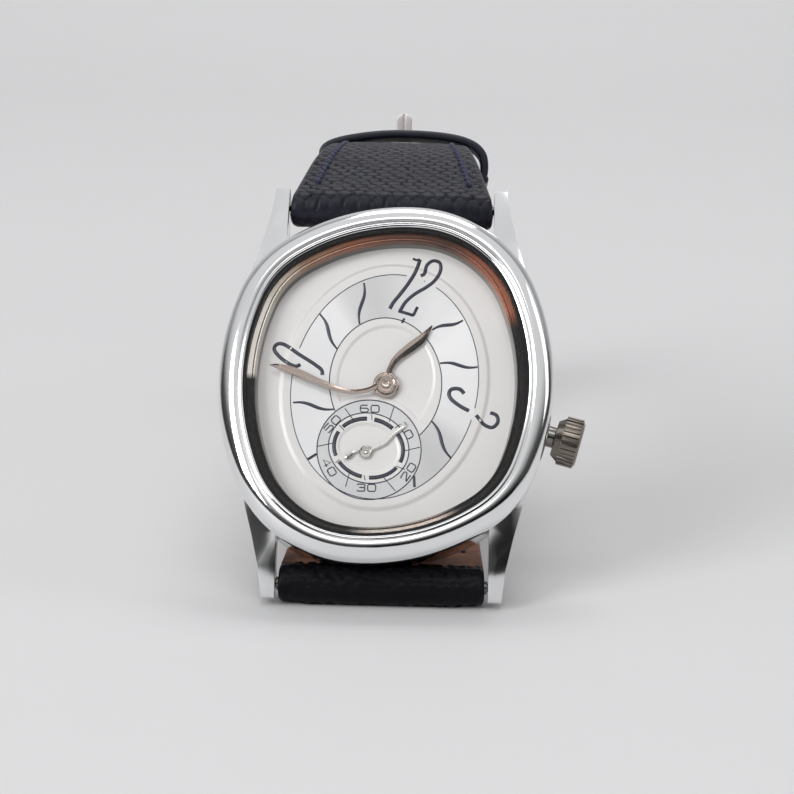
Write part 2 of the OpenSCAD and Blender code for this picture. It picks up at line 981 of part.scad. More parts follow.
module cannon_pinion() {
  color("silver")
    stand()
      faced()
        difference() {
          union() {
            rotate([0, 0, minute_wheel_turn])
              wheel_pinion(12, 6 * works_1, works_1, works_floor + 0.05, works_floor + 0.2);
            arbor(works_floor + 0.05, minute_z + hand_t, cannon_r);
          }
          arbor(works_floor - through, cannon_r + 0.1, arbor_r);
        }
}

module minute_wheel() {
  color("goldenrod")
    stand()
      faced()
        translate([minute_wheel_at[0], minute_wheel_at[1], 0])
          rotate([0, 0, minute_wheel_turn + 180])
            difference() {
              union() {
                rotate([0, 0, 180 / 36])
                  wheel_pinion(36, 18 * works_1, works_1, works_floor + 0.05, works_floor + 0.2);
                rotate([0, 0, 180 / 10])
                  wheel_pinion(10, 5 * works_2, works_2, works_floor + 0.2, works_floor + 0.5);
              }
              arbor(works_floor - through, 0, arbor_r + pivot_play);
            }
}

module hour_wheel() {
  color("goldenrod")
    stand()
      faced()
        difference() {
          union() {
            rotate([0, 0, minute_wheel_turn])
              wheel_pinion(40, 20 * works_2, works_2, works_floor + 0.33, works_floor + 0.48);
            arbor(works_floor + 0.33, hour_z + hand_t, pipe_r);
          }
          arbor(works_floor - through, 2, cannon_r + run_fit);
        }
}

// a turned piece along the crown's line: points are radius and distance from the centre
module on_crown_line() {
  stand()
    faced()
      translate([0, 0, crown_z])
        rotate([0, 90, 0])
          children();
}

module crown() {
  cone_end = crown_start + crown_cone;
  tip = cone_end + crown_len;
  color("silver")
    on_crown_line()
      difference() {
        union() {
          rotate_extrude()
            polygon([
              [0, crown_start],
              [crown_r * 0.7, crown_start],
              [crown_r - 0.15, cone_end],
              [crown_r - 0.15, tip - 0.1],
              [crown_r - 0.5, tip + 0.1],
              [0, tip + 0.1]
            ]);
          translate([0, 0, cone_end - 0.15])
            linear_extrude(height = crown_len)
              polygon([
                for (i = [0:crown_ribs - 1], k = [0:3])
                  let (a = (i + [-0.32, -0.18, 0.18, 0.32][k]) * 360 / crown_ribs)
                  (crown_r - (k == 0 || k == 3 ? 0.17 : 0)) * [cos(a), sin(a)]
              ]);
        }
        arbor(crown_start - through, crown_start + 1.6, tube_r + 0.4);
        arbor(crown_start, crown_start + 2.4, stem_r + run_fit);
      }
}

module crown_gasket() {
  color("black")
    on_crown_line()
      difference() {
        arbor(crown_start + 0.2, crown_start + 0.8, tube_r + 0.4);
        arbor(crown_start, crown_start + 1, tube_r + run_fit);
      }
}

module crown_tube() {
  color("lightgray")
    on_crown_line()
      difference() {
        arbor(tube_in, crown_start + 0.9, tube_r);
        arbor(tube_in - through, crown_start + 2, stem_r + run_fit);
      }
}

module winding_stem() {
  color("gray")
    on_crown_line()
      arbor(stem_end, crown_start + 2.3, stem_r);
}

// a spring bar: tube between the lugs, and a sprung tip at each end
bar_half = lug_gap / 2 - lug_play;
tip_r = bar_r - 0.25;
tip_in = 3;
tip_out = lug_w - 0.75;

module spring_bar(y) {
  color("lightgray")
    stand()
      difference() {
        cross_bar(y, bar_r, 2 * bar_half);
        for (s = [-1, 1])
          translate([s * bar_half, y, bar_z])
            rotate([0, 90, 0])
              cylinder(r = tip_r + run_fit, h = 2 * tip_in + 3.6, center = true);
      }
}

module bar_tip(s, y) {
  color("white")
    stand()
      translate([s * (bar_half + (tip_out - tip_in) / 2), y, bar_z])
        rotate([0, 90, 0])
          cylinder(r = tip_r, h = tip_in + tip_out, center = true);
}

module spring_bar_upper() {
  spring_bar(bar_y);
}

module spring_bar_lower() {
  spring_bar(-bar_y);
}

module bar_tip_upper_left() {
  bar_tip(-1, bar_y);
}

module bar_tip_upper_right() {
  bar_tip(1, bar_y);
}

module bar_tip_lower_left() {
  bar_tip(-1, -bar_y);
}

module bar_tip_lower_right() {
  bar_tip(1, -bar_y);
}

// side view (y, z) drawn out across the watch
module across(w) {
  rotate([90, 0, 90])
    translate([0, 0, -w / 2])
      linear_extrude(height = w)
        children();
}

module cross_hole(p, r, w) {
  across(w)
    translate([p[0], p[1]])
      circle(r = r);
}

function steps(a, b, n) = [for (i = [0:n]) a + (b - a) * i / n];

// plan taper of a strap between two places along y
module taper(y0, w0, y1, w1) {
  translate([0, 0, -strap_t])
    linear_extrude(height = 40 * strap_t)
      polygon([[-w0 / 2, y0], [w0 / 2, y0], [w1 / 2, y1], [-w1 / 2, y1]]);
}

// both layers of the short strap, cut to the upper or the lower one
module short_body() {
  intersection() {
    union() {
      across(strap_w)
        polygon(concat(
          [for (s = steps(0, short_len, path_n)) short_off(s, short_t(s) / 2)],
          [for (s = steps(short_len, 0, path_n)) short_off(s, -short_t(s) / 2)]
        ));
      cross_hole(upper_bar, roll_r, strap_w);
      cross_hole(buckle_at, end_roll_r, strap_w);
    }
    taper(upper_bar[0] - strap_t, strap_w, buckle_at[0] + strap_t, buckle_w);
  }
}

module short_inner() {
  across(strap_w + through)
    polygon(concat(
      [for (s = steps(roll_r + 1, short_len - 4, path_n)) short_off(s, lining_t - short_t(s) / 2)],
      [for (s = steps(short_len - 4, roll_r + 1, path_n)) short_off(s, -short_t(s))]
    ));
}

module short_cuts() {
  cross_hole(upper_bar, bar_r + run_fit, lug_gap);
  cross_hole(buckle_at, buckle_bar_r + run_fit, lug_gap);
  translate([-tongue_gap / 2, buckle_at[0] - end_roll_r - slot_len, buckle_at[1] - strap_t])
    cube([tongue_gap, slot_len + 3 * end_roll_r, 2 * strap_t]);
}

module short_strap_leather() {
  color("midnightblue")
    difference() {
      short_body();
      short_inner();
      short_cuts();
    }
}

module short_strap_lining() {
  color("saddlebrown")
    intersection() {
      short_body();
      short_inner();
    }
}

module long_side() {
  across(strap_w)
    polygon(concat(
      [for (s = steps(0, long_len, 2 * path_n)) long_off(s, 0)],
      [for (s = steps(long_len, 0, 2 * path_n)) long_off(s, long_t(s))]
    ));
}

module long_body() {
  end = long_at(long_len);
  intersection() {
    union() {
      long_side();
      cross_hole(lower_bar, roll_r, strap_w);
    }
    union() {
      taper(lower_bar[0] - strap_t, strap_w, end[0] - tail_w / 2 * cos(tail_angle), tail_w);
      translate([0, long_at(long_len - tail_w / 2)[0], long_at(long_len - tail_w / 2)[1]])
        rotate([tail_angle, 0, 0])
          translate([0, 0, -strap_t])
            cylinder(r = tail_w / 2, h = 3 * strap_t);
    }
  }
}

module long_holes() {
  for (i = [0:hole_count - 1])
    let (
      s = long_len - 24 - i * hole_pitch,
      p = long_at(s)
    )
    translate([0, p[0], p[1]])
      rotate([long_slope(s), 0, 0])
        cylinder(r = hole_r, h = 3 * strap_t, center = true);
}

// everything on the wrist's side of the line between leather and lining
module long_inner() {
  first = 2 * roll_r;
  across(strap_w + through)
    polygon(concat(
      [for (s = steps(first, long_len + 1, 2 * path_n)) long_off(s, long_t(s) - lining_t)],
      [for (s = steps(long_len + 1, first, 2 * path_n)) long_off(s, 2 * strap_t)]
    ));
}

module long_strap_leather() {
  color("midnightblue")
    difference() {
      long_body();
      long_inner();
      cross_hole(lower_bar, bar_r + run_fit, lug_gap);
      long_holes();
    }
}

module long_strap_lining() {
  color("saddlebrown")
    difference() {
      intersection() {
        long_body();
        long_inner();
      }
      long_holes();
    }
}

// width of the short strap at a place along it
function short_w(s) = let (
    y = short_at(s)[0],
    k = (y - upper_bar[0] + strap_t) / (buckle_at[0] - upper_bar[0] + 2 * strap_t)
  )
  strap_w + (buckle_w - strap_w) * k;

// a loop of leather round the strap: place, free room above, below and beside
module keeper(s, above, below, beside) {
  p = short_at(s);
  w = short_w(s - keeper_len / 2) + 2 * beside;
  t = short_t(s - keeper_len / 2);
  translate([0, p[0], p[1]])
    rotate([short_slope(s), 0, 0])
      difference() {
        translate([-w / 2 - keeper_t, -keeper_len / 2, -t / 2 - below - keeper_t])
          cube([w + 2 * keeper_t, keeper_len, t + above + below + 2 * keeper_t]);
        translate([-w / 2, -keeper_len, -t / 2 - below])
          cube([w, 2 * keeper_len, t + above + below]);
      }
}

module fixed_keeper() {
  color("black")
    keeper(fixed_at, keeper_room, 0, 0.2);
}

module free_keeper() {
  color("black")
    keeper(free_at, keeper_room, keeper_low, keeper_side);
}

module buckle_frame() {
  arm_in = buckle_w / 2 + 0.3;
  color("silver")
    translate([0, buckle_at[0], buckle_at[1]])
      rotate([-drop_angle, 0, 0])
        difference() {
          union() {
            for (s = [-1, 1]) {
              translate([s * (arm_in + frame_t / 2) - frame_t / 2, 0, -frame_t / 2])
                cube([frame_t, frame_len, frame_t]);
              translate([s * (arm_in + frame_t / 2), 0, 0])
                rotate([0, 90, 0])
                  cylinder(r = frame_t / 2 + 0.35, h = frame_t, center = true);
            }
            translate([0, frame_len, 0])
              rotate([0, 90, 0])
                cylinder(r = frame_t / 2 + 0.2, h = 2 * (arm_in + frame_t), center = true);
          }
          rotate([0, 90, 0])
            cylinder(r = buckle_bar_r, h = 4 * buckle_w, center = true);
          translate([-1.1, frame_len - 3, frame_t / 2 - 0.1])
            cube([2.2, 6, frame_t]);
        }
}

module buckle_bar() {
  color("lightgray")
    cross_hole(buckle_at, buckle_bar_r, buckle_w + 2 * 0.3 + 2 * frame_t - 0.4);
}

module buckle_tongue() {
  color("silver")
    translate([0, buckle_at[0], buckle_at[1]])
      difference() {
        union() {
          rotate([0, 90, 0])
            cylinder(r = 1.4, h = 1.9, center = true);
          cylinder(r = 0.7, h = tongue_len - 0.7);
          translate([0, 0, tongue_len - 0.7])
            sphere(r = 0.7);
        }
        rotate([0, 90, 0])
          cylinder(r = buckle_bar_r + run_fit, h = 4, center = true);
      }
}

case_middle();
bezel();
crystal();
crystal_gasket();
rehaut_ring();
dial();
case_back();
case_back_gasket();
case_back_screws();
movement_holder();
hour_hand();
minute_hand();
seconds_hand();
mainplate();
barrel_bridge();
train_bridge();
balance_cock();
bridge_screws();
barrel();
ratchet_wheel();
crown_wheel();
centre_wheel();
third_wheel();
fourth_wheel();
escape_wheel();
pallet_fork();
balance_wheel();
hairspring();
cannon_pinion();
minute_wheel();
hour_wheel();
crown();
crown_gasket();
crown_tube();
winding_stem();
spring_bar_upper();
spring_bar_lower();
bar_tip_upper_left();
bar_tip_upper_right();
bar_tip_lower_left();
bar_tip_lower_right();
short_strap_leather();
short_strap_lining();
long_strap_leather();
long_strap_lining();
fixed_keeper();
free_keeper();
buckle_frame();
buckle_bar();
buckle_tongue();
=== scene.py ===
"""The oval watch: looks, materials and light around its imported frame."""
import math

import bmesh
import bpy
from mathutils import Matrix, Vector


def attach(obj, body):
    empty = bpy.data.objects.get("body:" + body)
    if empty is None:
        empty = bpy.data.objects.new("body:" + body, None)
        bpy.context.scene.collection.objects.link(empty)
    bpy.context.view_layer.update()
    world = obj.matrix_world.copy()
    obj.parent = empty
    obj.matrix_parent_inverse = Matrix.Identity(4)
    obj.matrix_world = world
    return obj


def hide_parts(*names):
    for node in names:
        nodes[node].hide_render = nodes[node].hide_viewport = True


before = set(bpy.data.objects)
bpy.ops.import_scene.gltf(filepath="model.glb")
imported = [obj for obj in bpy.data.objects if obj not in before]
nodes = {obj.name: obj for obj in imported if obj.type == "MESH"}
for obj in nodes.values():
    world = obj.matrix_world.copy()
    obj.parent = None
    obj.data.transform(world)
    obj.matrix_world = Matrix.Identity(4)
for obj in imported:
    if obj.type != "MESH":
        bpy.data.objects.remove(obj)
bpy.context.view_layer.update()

MM = 0.001


def sin(a):
    return math.sin(math.radians(a))


def cos(a):
    return math.cos(math.radians(a))


# camera
camera_data = bpy.data.cameras.new("camera")
camera_data.sensor_width = 36
FOCAL_PX, FRAME_PX = 2352.35, 794
camera_data.lens = camera_data.sensor_width * FOCAL_PX / FRAME_PX
camera_data.clip_start = 0.01
camera = bpy.data.objects.new("camera", camera_data)
camera.matrix_world = (
    Matrix.Translation(Vector((7.26, -282.53, 83.61)) * MM)
    @ Matrix.Rotation(math.radians(1.32), 4, "Z")
    @ Matrix.Rotation(math.radians(90 - 13.19), 4, "X")
    @ Matrix.Rotation(math.radians(0.92), 4, "Z")
)
bpy.context.scene.collection.objects.link(camera)
bpy.context.scene.camera = camera

# places: the watch face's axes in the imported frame
LEAN = 27.6
FACE = Matrix(
    (
        (1, 0, 0, 0),
        (0, sin(LEAN), -cos(LEAN), -21.335 * MM),
        (0, cos(LEAN), sin(LEAN), 23.626 * MM),
        (0, 0, 0, 1),
    )
)
TURN = 15


def rotated(x, y, angle):
    return x * cos(angle) - y * sin(angle), x * sin(angle) + y * cos(angle)


def dial_xy(x, y):
    """A place given along the dial's own axes, in the face's axes."""
    return rotated(x, y, -TURN)


# materials
def set_stops(ramp, stops):
    """Places and colours on a colour ramp."""
    marks = ramp.color_ramp.elements
    while len(marks) < len(stops):
        marks.new(0.5)
    for mark, stop in zip(marks, stops):
        mark.position = stop[0]
    for mark, stop in zip(marks, stops):
        mark.color = (*stop[1], 1)


def add_node(tree, kind, inputs=None, **settings):
    """A shader node with some settings and input values."""
    n = tree.nodes.new("ShaderNode" + kind)
    for key, value in settings.items():
        setattr(n, key, value)
    for key, value in (inputs or {}).items():
        n.inputs[key].default_value = value
    return n


class Look:
    """A node material: one Principled shader and the textures that feed it."""

    def __init__(self, name, **sockets):
        self.mat = bpy.data.materials.new(name)
        self.mat.use_nodes = True
        self.tree = self.mat.node_tree
        self.tree.nodes.clear()
        self.shader = self.node("BsdfPrincipled")
        self.out = self.node("OutputMaterial")
        self.link(self.shader.outputs[0], self.out.inputs[0])
        self.coords = self.node("TexCoord").outputs["Object"]
        for key, value in sockets.items():
            self.set(key.replace("_", " "), value)

    def node(self, *rest, **settings):
        return add_node(self.tree, *rest, **settings)

    def link(self, a, b):
        self.tree.links.new(a, b)

    def set(self, key, value):
        self.shader.inputs[key].default_value = (*value, 1) if isinstance(value, tuple) else value

    def noise(self, scale, detail=3, rough=0.55, stretch=None, kind="TexNoise"):
        inputs = {"Scale": scale}
        if kind == "TexNoise":
            inputs.update(Detail=detail, Roughness=rough)
        n = self.node(kind, inputs)
        source = self.coords
        if stretch:
            m = self.node("Mapping", {"Scale": stretch})
            self.link(source, m.inputs["Vector"])
            source = m.outputs[0]
        self.link(source, n.inputs["Vector"])
        return n.outputs["Fac" if kind == "TexNoise" else "Distance"]

    def ramp(self, fac, low, high, a=0.3, b=0.7):
        r = self.node("ValToRGB")
        set_stops(r, [(a, low), (b, high)])
        self.link(fac, r.inputs[0])
        return r.outputs[0]

    def spread(self, fac, low, high, a=0.0, b=1.0):
        m = self.node("MapRange", {"From Min": a, "From Max": b, "To Min": low, "To Max": high})
        self.link(fac, m.inputs["Value"])
        return m.outputs[0]

    def color(self, source):
        self.link(source, self.shader.inputs["Base Color"])

    def rough(self, source):
        self.link(source, self.shader.inputs["Roughness"])

    def bump(self, height, depth, strength=1.0):
        b = self.node("Bump", {"Distance": depth, "Strength": strength})
        before = self.shader.inputs["Normal"].links
        if before:
            self.link(before[0].from_socket, b.inputs["Normal"])
        self.link(height, b.inputs["Height"])
        self.link(b.outputs[0], self.shader.inputs["Normal"])


def metal(name, tone, rough, scratch=0.000004, grain=(900, 900, 900), spread=0.05, vary=0.03):
    look = Look(name, Metallic=1.0)
    patches = look.noise(140, 2)
    lines = look.noise(1, 4, 0.7, stretch=grain)
    dark = tuple(c * (1 - vary) for c in tone)
    look.color(look.ramp(patches, dark, tone))
    look.rough(look.spread(patches, rough, rough + spread, 0.35, 0.65))
    look.bump(lines, scratch)
    return look.mat


HAIR = (2500, 2500, 2500)
polished = metal("polished_steel", (0.86, 0.865, 0.87), 0.07, 0.0000015, (1500, 1500, 1500), 0.04)
satin = metal("satin_steel", (0.80, 0.80, 0.80), 0.2, 0.000006, (600, 600, 9000), 0.08)
dark_steel = metal("rehaut_steel", (0.20, 0.20, 0.185), 0.14, 0.000002, (1200, 1200, 1200), 0.05)
# the crown's steel darkened: painted shade
crown_steel_painted_shade = metal("crown_steel_painted_shade", (0.22, 0.195, 0.17), 0.18, 0.000004, HAIR, 0.08)
brass = metal("brass", (0.78, 0.62, 0.33), 0.22, 0.000005, (700, 700, 7000))
plate_steel = metal("rhodium_plate", (0.72, 0.72, 0.70), 0.28, 0.00001, (500, 6000, 500))
wheel_steel = metal("blued_wheel_steel", (0.55, 0.56, 0.60), 0.2, 0.000004, (900, 900, 5000))
rose = metal("rose_metal", (0.52, 0.435, 0.385), 0.13, 0.000003, HAIR, 0.06, 0.06)
silver = metal("silver_metal", (0.62, 0.60, 0.565), 0.16, 0.000003, HAIR, 0.06)


def make_case_steel():
    """Polished steel whose faces are not quite flat, as hand polishing leaves them."""
    look = Look("case_steel", Metallic=1.0)
    patches = look.noise(140, 2)
    look.color(look.ramp(patches, (0.76, 0.765, 0.77), (0.82, 0.825, 0.83)))
    look.rough(look.spread(patches, 0.1, 0.16, 0.35, 0.65))
    look.bump(look.noise(1500, 4, 0.7), 0.0000015)
    look.bump(look.noise(110, 1), 0.00025)
    return look.mat


case_steel = make_case_steel()


def make_glass():
    """A clear sheet whose gloss grows with the slant of the view."""
    look = Look("sapphire_glass", Base_Color=(1, 1, 1), Metallic=1.0, Roughness=0.02)
    slant = look.node("LayerWeight", {"Blend": 0.5})
    gloss = look.node("Math", {1: 5}, operation="POWER")
    look.link(slant.outputs["Facing"], gloss.inputs[0])
    smear = look.noise(60, 2)
    look.link(look.spread(gloss.outputs[0], 0.015, 0.9), look.shader.inputs["Alpha"])
    look.rough(look.spread(smear, 0.015, 0.03))
    look.mat.blend_method = "BLEND"
    return look.mat


def speckled(name, noise, low, high, rough, depth, **sockets):
    """A plain material whose colour, gloss and height all follow one fine noise."""
    look = Look(name, **sockets)
    n = look.noise(**noise)
    look.color(look.ramp(n, low, high))
    look.rough(look.spread(n, *rough))
    look.bump(n, depth)
    return look.mat


def make_dial(name, low, high, metallic, rough):
    """Satin paint or metal."""
    look = Look(name, Metallic=metallic)
    n = look.noise(3500, 3)
    cloud = look.noise(90, 2)
    look.color(look.ramp(cloud, low, high))
    look.rough(look.spread(n, rough - 0.04, rough + 0.06, 0.3, 0.7))
    look.bump(n, 0.0000015, 0.6)
    return look.mat


def fan_ramp(look, stops):
    """Colours by the angle round the face, from -180 degrees on."""
    split = look.node("SeparateXYZ")
    look.link(look.coords, split.inputs[0])
    turn = look.node("Math", operation="ARCTAN2")
    look.link(split.outputs[1], turn.inputs[0])
    look.link(split.outputs[0], turn.inputs[1])
    ramp = look.node("ValToRGB")
    ramp.color_ramp.interpolation = "EASE"
    set_stops(ramp, [
        ((angle + 180) / 360, tone if isinstance(tone, tuple) else (tone, tone, tone * 1.005)) for angle, tone in stops
    ])
    look.link(look.spread(turn.outputs[0], 0.0, 1.0, -math.pi, math.pi), ramp.inputs[0])
    return ramp.outputs[0], turn.outputs[0]


def make_sunburst_painted_sheen():
    """The sunburst: fine brushed lines from the centre, with painted sheen, light and dark in broad fans."""
    look = Look("dial_sunburst_painted_sheen", Metallic=0.35)
    # painted sheen: lighter and darker fans by the angle round the face
    colour, turn = fan_ramp(look, [
        (-180, 0.74), (-140, 0.77), (-115, 0.72), (-75, 0.62), (-58, 0.56), (-42, 0.60), (-26, 0.76), (0, 0.80),
        (35, 0.83), (58, 0.74), (78, 0.64), (98, 0.55), (112, 0.60), (126, 0.77), (152, 0.74), (180, 0.74)])
    look.color(colour)
    lines = look.node("TexNoise", {"Scale": 70, "Detail": 3}, noise_dimensions="1D")
    look.link(turn, lines.inputs["W"])
    look.rough(look.spread(lines.outputs["Fac"], 0.3, 0.36, 0.3, 0.7))
    look.bump(lines.outputs["Fac"], 0.0000012, 0.4)
    return look.mat


def make_wall_painted_reflections():
    """The polished wall round the dial, with painted reflections: dark, with a warm and a pale stretch."""
    look = Look("wall_steel_painted_reflections", Metallic=1.0)
    dark_reflection, warm_reflection, pale_reflection = (0.014, 0.013, 0.012), (0.34, 0.12, 0.07), (0.80, 0.75, 0.68)
    # painted reflections: dark, warm and pale tints by the angle round the face
    colour = fan_ramp(look, [
        (-180, dark_reflection), (-104, dark_reflection), (-92, (0.30, 0.27, 0.24)), (-70, (0.34, 0.28, 0.25)), (-58, dark_reflection), (24, dark_reflection),
        (33, warm_reflection), (52, warm_reflection), (68, (0.10, 0.05, 0.035)), (88, (0.16, 0.07, 0.045)), (104, (0.30, 0.12, 0.07)),
        (122, (0.34, 0.20, 0.13)), (138, (0.62, 0.55, 0.46)), (150, pale_reflection), (177, pale_reflection), (180, dark_reflection)])[0]
    look.color(colour)
    look.rough(look.spread(look.noise(140, 2), 0.16, 0.24))
    look.bump(look.noise(900, 2), 0.000002)
    return look.mat


dial_white = make_dial("dial_satin_white", (0.735, 0.72, 0.705), (0.775, 0.76, 0.745), 0.12, 0.36)
dial_grey = make_dial("dial_grey_ring", (0.60, 0.61, 0.61), (0.65, 0.66, 0.66), 0.2, 0.36)
dial_rays_painted_sheen = make_sunburst_painted_sheen()
wall_painted_reflections = make_wall_painted_reflections()
tongue_steel = make_dial("tongue_steel", (0.80, 0.75, 0.73), (0.86, 0.81, 0.79), 0.4, 0.42)


def make_leather(name, low, high, rough, grain, depth, coat=0.0, shine=0.4):
    look = Look(name, Specular_IOR_Level=shine, Coat_Weight=coat, Coat_Roughness=0.3)
    pores = look.noise(grain, 4, 0.65)
    patches = look.noise(170, 3)
    look.color(look.ramp(patches, low, high))
    look.rough(look.spread(pores, rough - 0.1, rough + 0.12, 0.3, 0.7))
    look.bump(pores, depth)
    wrinkles = look.noise(grain * 0.28, 2, kind="TexVoronoi")
    look.bump(wrinkles, depth * 1.2, 0.5)
    return look.mat


leather = make_leather(
    "lizard_leather", (0.007, 0.0075, 0.013), (0.015, 0.016, 0.026), 0.4, 5200, 0.00002, shine=0.2)
# the same leather, darker for the long strap: painted shade
leather_painted_shade = make_leather(
    "lizard_leather_painted_shade", (0.002, 0.0022, 0.0035), (0.004, 0.0043, 0.006), 0.42, 5200, 0.00001, shine=0.12)
smooth_leather = make_leather(
    "keeper_leather_smooth", (0.007, 0.008, 0.016), (0.012, 0.014, 0.026), 0.36, 3600, 0.000008, coat=0.1)


def make_suede():
    look = Look("lining_suede", Specular_IOR_Level=0.2, Sheen_Weight=0.25, Sheen_Roughness=0.5)
    mottle = look.noise(480, 5, 0.7)
    nap = look.noise(6500, 3, 0.7)
    look.color(look.ramp(mottle, (0.115, 0.036, 0.014), (0.36, 0.13, 0.05), 0.35, 0.62))
    look.rough(look.spread(nap, 0.75, 0.95))
    look.bump(nap, 0.00006)
    look.bump(mottle, 0.00008)
    return look.mat


glass = make_glass()
suede = make_suede()
rubber = speckled(
    "black_seal", {"scale": 900}, (0.006, 0.006, 0.007), (0.016, 0.016, 0.017), (0.45, 0.65), 0.00002,
    Specular_IOR_Level=0.2)
enamel = speckled(
    "navy_print", {"scale": 2500, "detail": 2}, (0.006, 0.008, 0.026), (0.012, 0.015, 0.042), (0.25, 0.4), 0.000002,
    Coat_Weight=0.3, Coat_Roughness=0.1)
thread = speckled(
    "blue_thread", {"scale": 1, "detail": 2, "stretch": (9000, 3000, 9000)}, (0.004, 0.008, 0.032),
    (0.010, 0.020, 0.062), (0.5, 0.7), 0.00004, Specular_IOR_Level=0.3, Sheen_Weight=0.1)


# mesh tools
def new_object(name, data):
    obj = bpy.data.objects.new(name, data)
    bpy.context.scene.collection.objects.link(obj)
    return obj


def new_mesh(name, verts, faces, scale=MM):
    mesh = bpy.data.meshes.new(name)
    mesh.from_pydata([tuple(c * scale for c in v) for v in verts], [], faces)
    return mesh


class Bag:
    """Collects skins, in millimetres, and makes one piece of them."""

    def __init__(self):
        self.verts, self.faces = [], []

    def loft(self, rings, closed=False):
        """A skin over rings of the same count. Its ends are filled unless it closes on itself."""
        base, n, count = len(self.verts), len(rings[0]), len(rings)
        self.verts += [p for ring in rings for p in ring]
        for i in range(count if closed else count - 1):
            a, b = base + i * n, base + (i + 1) % count * n
            for k in range(n):
                j = (k + 1) % n
                self.faces.append((a + k, a + j, b + j, b + k))
        if not closed:
            for first in (base, base + (count - 1) * n):
                self.faces.append(tuple(range(first, first + n)))

    def build(self, name, mats, body, place=None, replaces=(), which=None, crease=None):
        """The piece. which gives a face's material, crease the angle of hard edges."""
        mesh = new_mesh(name, self.verts, self.faces)
        for m in mats if isinstance(mats, (list, tuple)) else [mats]:
            mesh.materials.append(m)
        if which:
            for p, k in zip(mesh.polygons, which):
                p.material_index = k
        bm = bmesh.new()
        bm.from_mesh(mesh)
        bmesh.ops.remove_doubles(bm, verts=bm.verts, dist=1e-7)
        bmesh.ops.recalc_face_normals(bm, faces=bm.faces)
        for f in bm.faces:
            f.smooth = True
        if crease:
            for e in bm.edges:
                if len(e.link_faces) == 2 and e.calc_face_angle(0) > math.radians(crease):
                    e.smooth = False
        bm.to_mesh(mesh)
        bm.free()
        obj = new_object(name, mesh)
        if place:
            obj.matrix_world = place
        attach(obj, body)
        if replaces:
            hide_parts(*replaces)
        return obj


def rounded(points, radii, steps=3):
    """A closed outline with its corners rounded."""
    out = []
    n = len(points)
    for i in range(n):
        p, a, b = (Vector(points[k % n]) for k in (i, i - 1, i + 1))
        r = radii[i] if isinstance(radii, (list, tuple)) else radii
        u, v = (a - p), (b - p)
        if r <= 0 or u.length < 1e-9 or v.length < 1e-9:
            out.append(tuple(p))
            continue
        angle = u.angle(v)
        if angle > math.pi - 0.02:
            out.append(tuple(p))
            continue
        cut = min(r / math.tan(angle / 2), u.length * 0.49, v.length * 0.49)
        start, end = p + u.normalized() * cut, p + v.normalized() * cut
        for k in range(steps + 1):
            t = k / steps
            out.append(tuple((1 - t) ** 2 * start + 2 * t * (1 - t) * p + t * t * end))
    return out


def smooth_path(points, steps=8, closed=False):
    """A Catmull-Rom line through points of any number of numbers."""
    n = len(points)
    out = []
    for i in range(n if closed else n - 1):
        four = []
        for k in (-1, 0, 1, 2):
            j = i + k
            four.append(points[j % n] if closed else points[max(0, min(n - 1, j))])
        a, b, c, d = four
        for s in range(steps):
            t = s / steps
            out.append(tuple(
                0.5 * (2 * b[m] + (c[m] - a[m]) * t + (2 * a[m] - 5 * b[m] + 4 * c[m] - d[m]) * t * t
                       + (3 * b[m] - a[m] - 3 * c[m] + d[m]) * t ** 3)
                for m in range(len(b))
            ))
    if not closed:
        out.append(tuple(points[-1]))
    return out


def normal_at(path, i, closed=False):
    """The unit normal, to the left, of a line at one of its points."""
    n = len(path)
    a, b = (path[j % n] if closed else path[max(0, min(n - 1, j))] for j in (i - 1, i + 1))
    dx, dy = b[0] - a[0], b[1] - a[1]
    size = math.hypot(dx, dy) or 1
    return -dy / size, dx / size


def smoothstep(a, b, x):
    t = max(0.0, min(1.0, (x - a) / (b - a)))
    return t * t * (3 - 2 * t)


# the oval
ARC_FROM = (-6.4, 37.5, 101.7, 138.8, 173.6)
SIDE_R, CORNER_R, END_R, TIGHT_R = 29.304, 15.3, 25.31, 13.3
ARC_R = (SIDE_R, CORNER_R, END_R, TIGHT_R, SIDE_R)


def arc_centres():
    steps = [
        ((ARC_R[k] - ARC_R[k + 1]) * cos(ARC_FROM[k + 1]), (ARC_R[k] - ARC_R[k + 1]) * sin(ARC_FROM[k + 1]))
        for k in range(4)
    ]
    x, y = -sum(p[0] for p in steps) / 2, -sum(p[1] for p in steps) / 2
    out = []
    for p in steps:
        out.append((x, y))
        x, y = x + p[0], y + p[1]
    return out


ARC_C = arc_centres()


def oval(angle, off):
    """The place at an offset from the bezel's edge where the edge faces an angle, in the face's axes."""
    turn = (angle - ARC_FROM[0]) % 360
    sign = 1 if turn < 180 else -1
    a = ARC_FROM[0] + turn % 180
    k = max(i for i in range(4) if ARC_FROM[i] <= a + 1e-9)
    x, y = (ARC_C[k][j] + (ARC_R[k] + off) * t for j, t in ((0, cos(a)), (1, sin(a))))
    return dial_xy(sign * x, sign * y)


def outline_gap(x, y):
    """How far a place in the face's axes lies outside the bezel's edge."""
    x, y = rotated(x, y, TURN)
    best = -99
    for sign in (1, -1):
        for k in range(4):
            dx, dy = sign * x - ARC_C[k][0], sign * y - ARC_C[k][1]
            a = (math.degrees(math.atan2(dy, dx)) - ARC_FROM[0]) % 360 + ARC_FROM[0]
            if ARC_FROM[k] <= a < ARC_FROM[k + 1]:
                best = max(best, math.hypot(dx, dy) - ARC_R[k])
    return best


def oval_ring(profile, count=288):
    """A ring round the oval from a closed outline of offset and height."""
    return [
        [(*oval(k * 360 / count, p[0]), p[1]) for p in profile]
        for k in range(count)
    ]


WALL = 2.9
LEDGE = WALL + 0.9
LEDGE_Z = 2.0
DIAL_OFF = -(LEDGE + 0.1)


def bezier(a, b, c, d, steps):
    out = []
    for k in range(steps + 1):
        t = k / steps
        u = 1 - t
        out.append(tuple(u ** 3 * a[m] + 3 * u * u * t * b[m] + 3 * u * t * t * c[m] + t ** 3 * d[m] for m in (0, 1)))
    return out


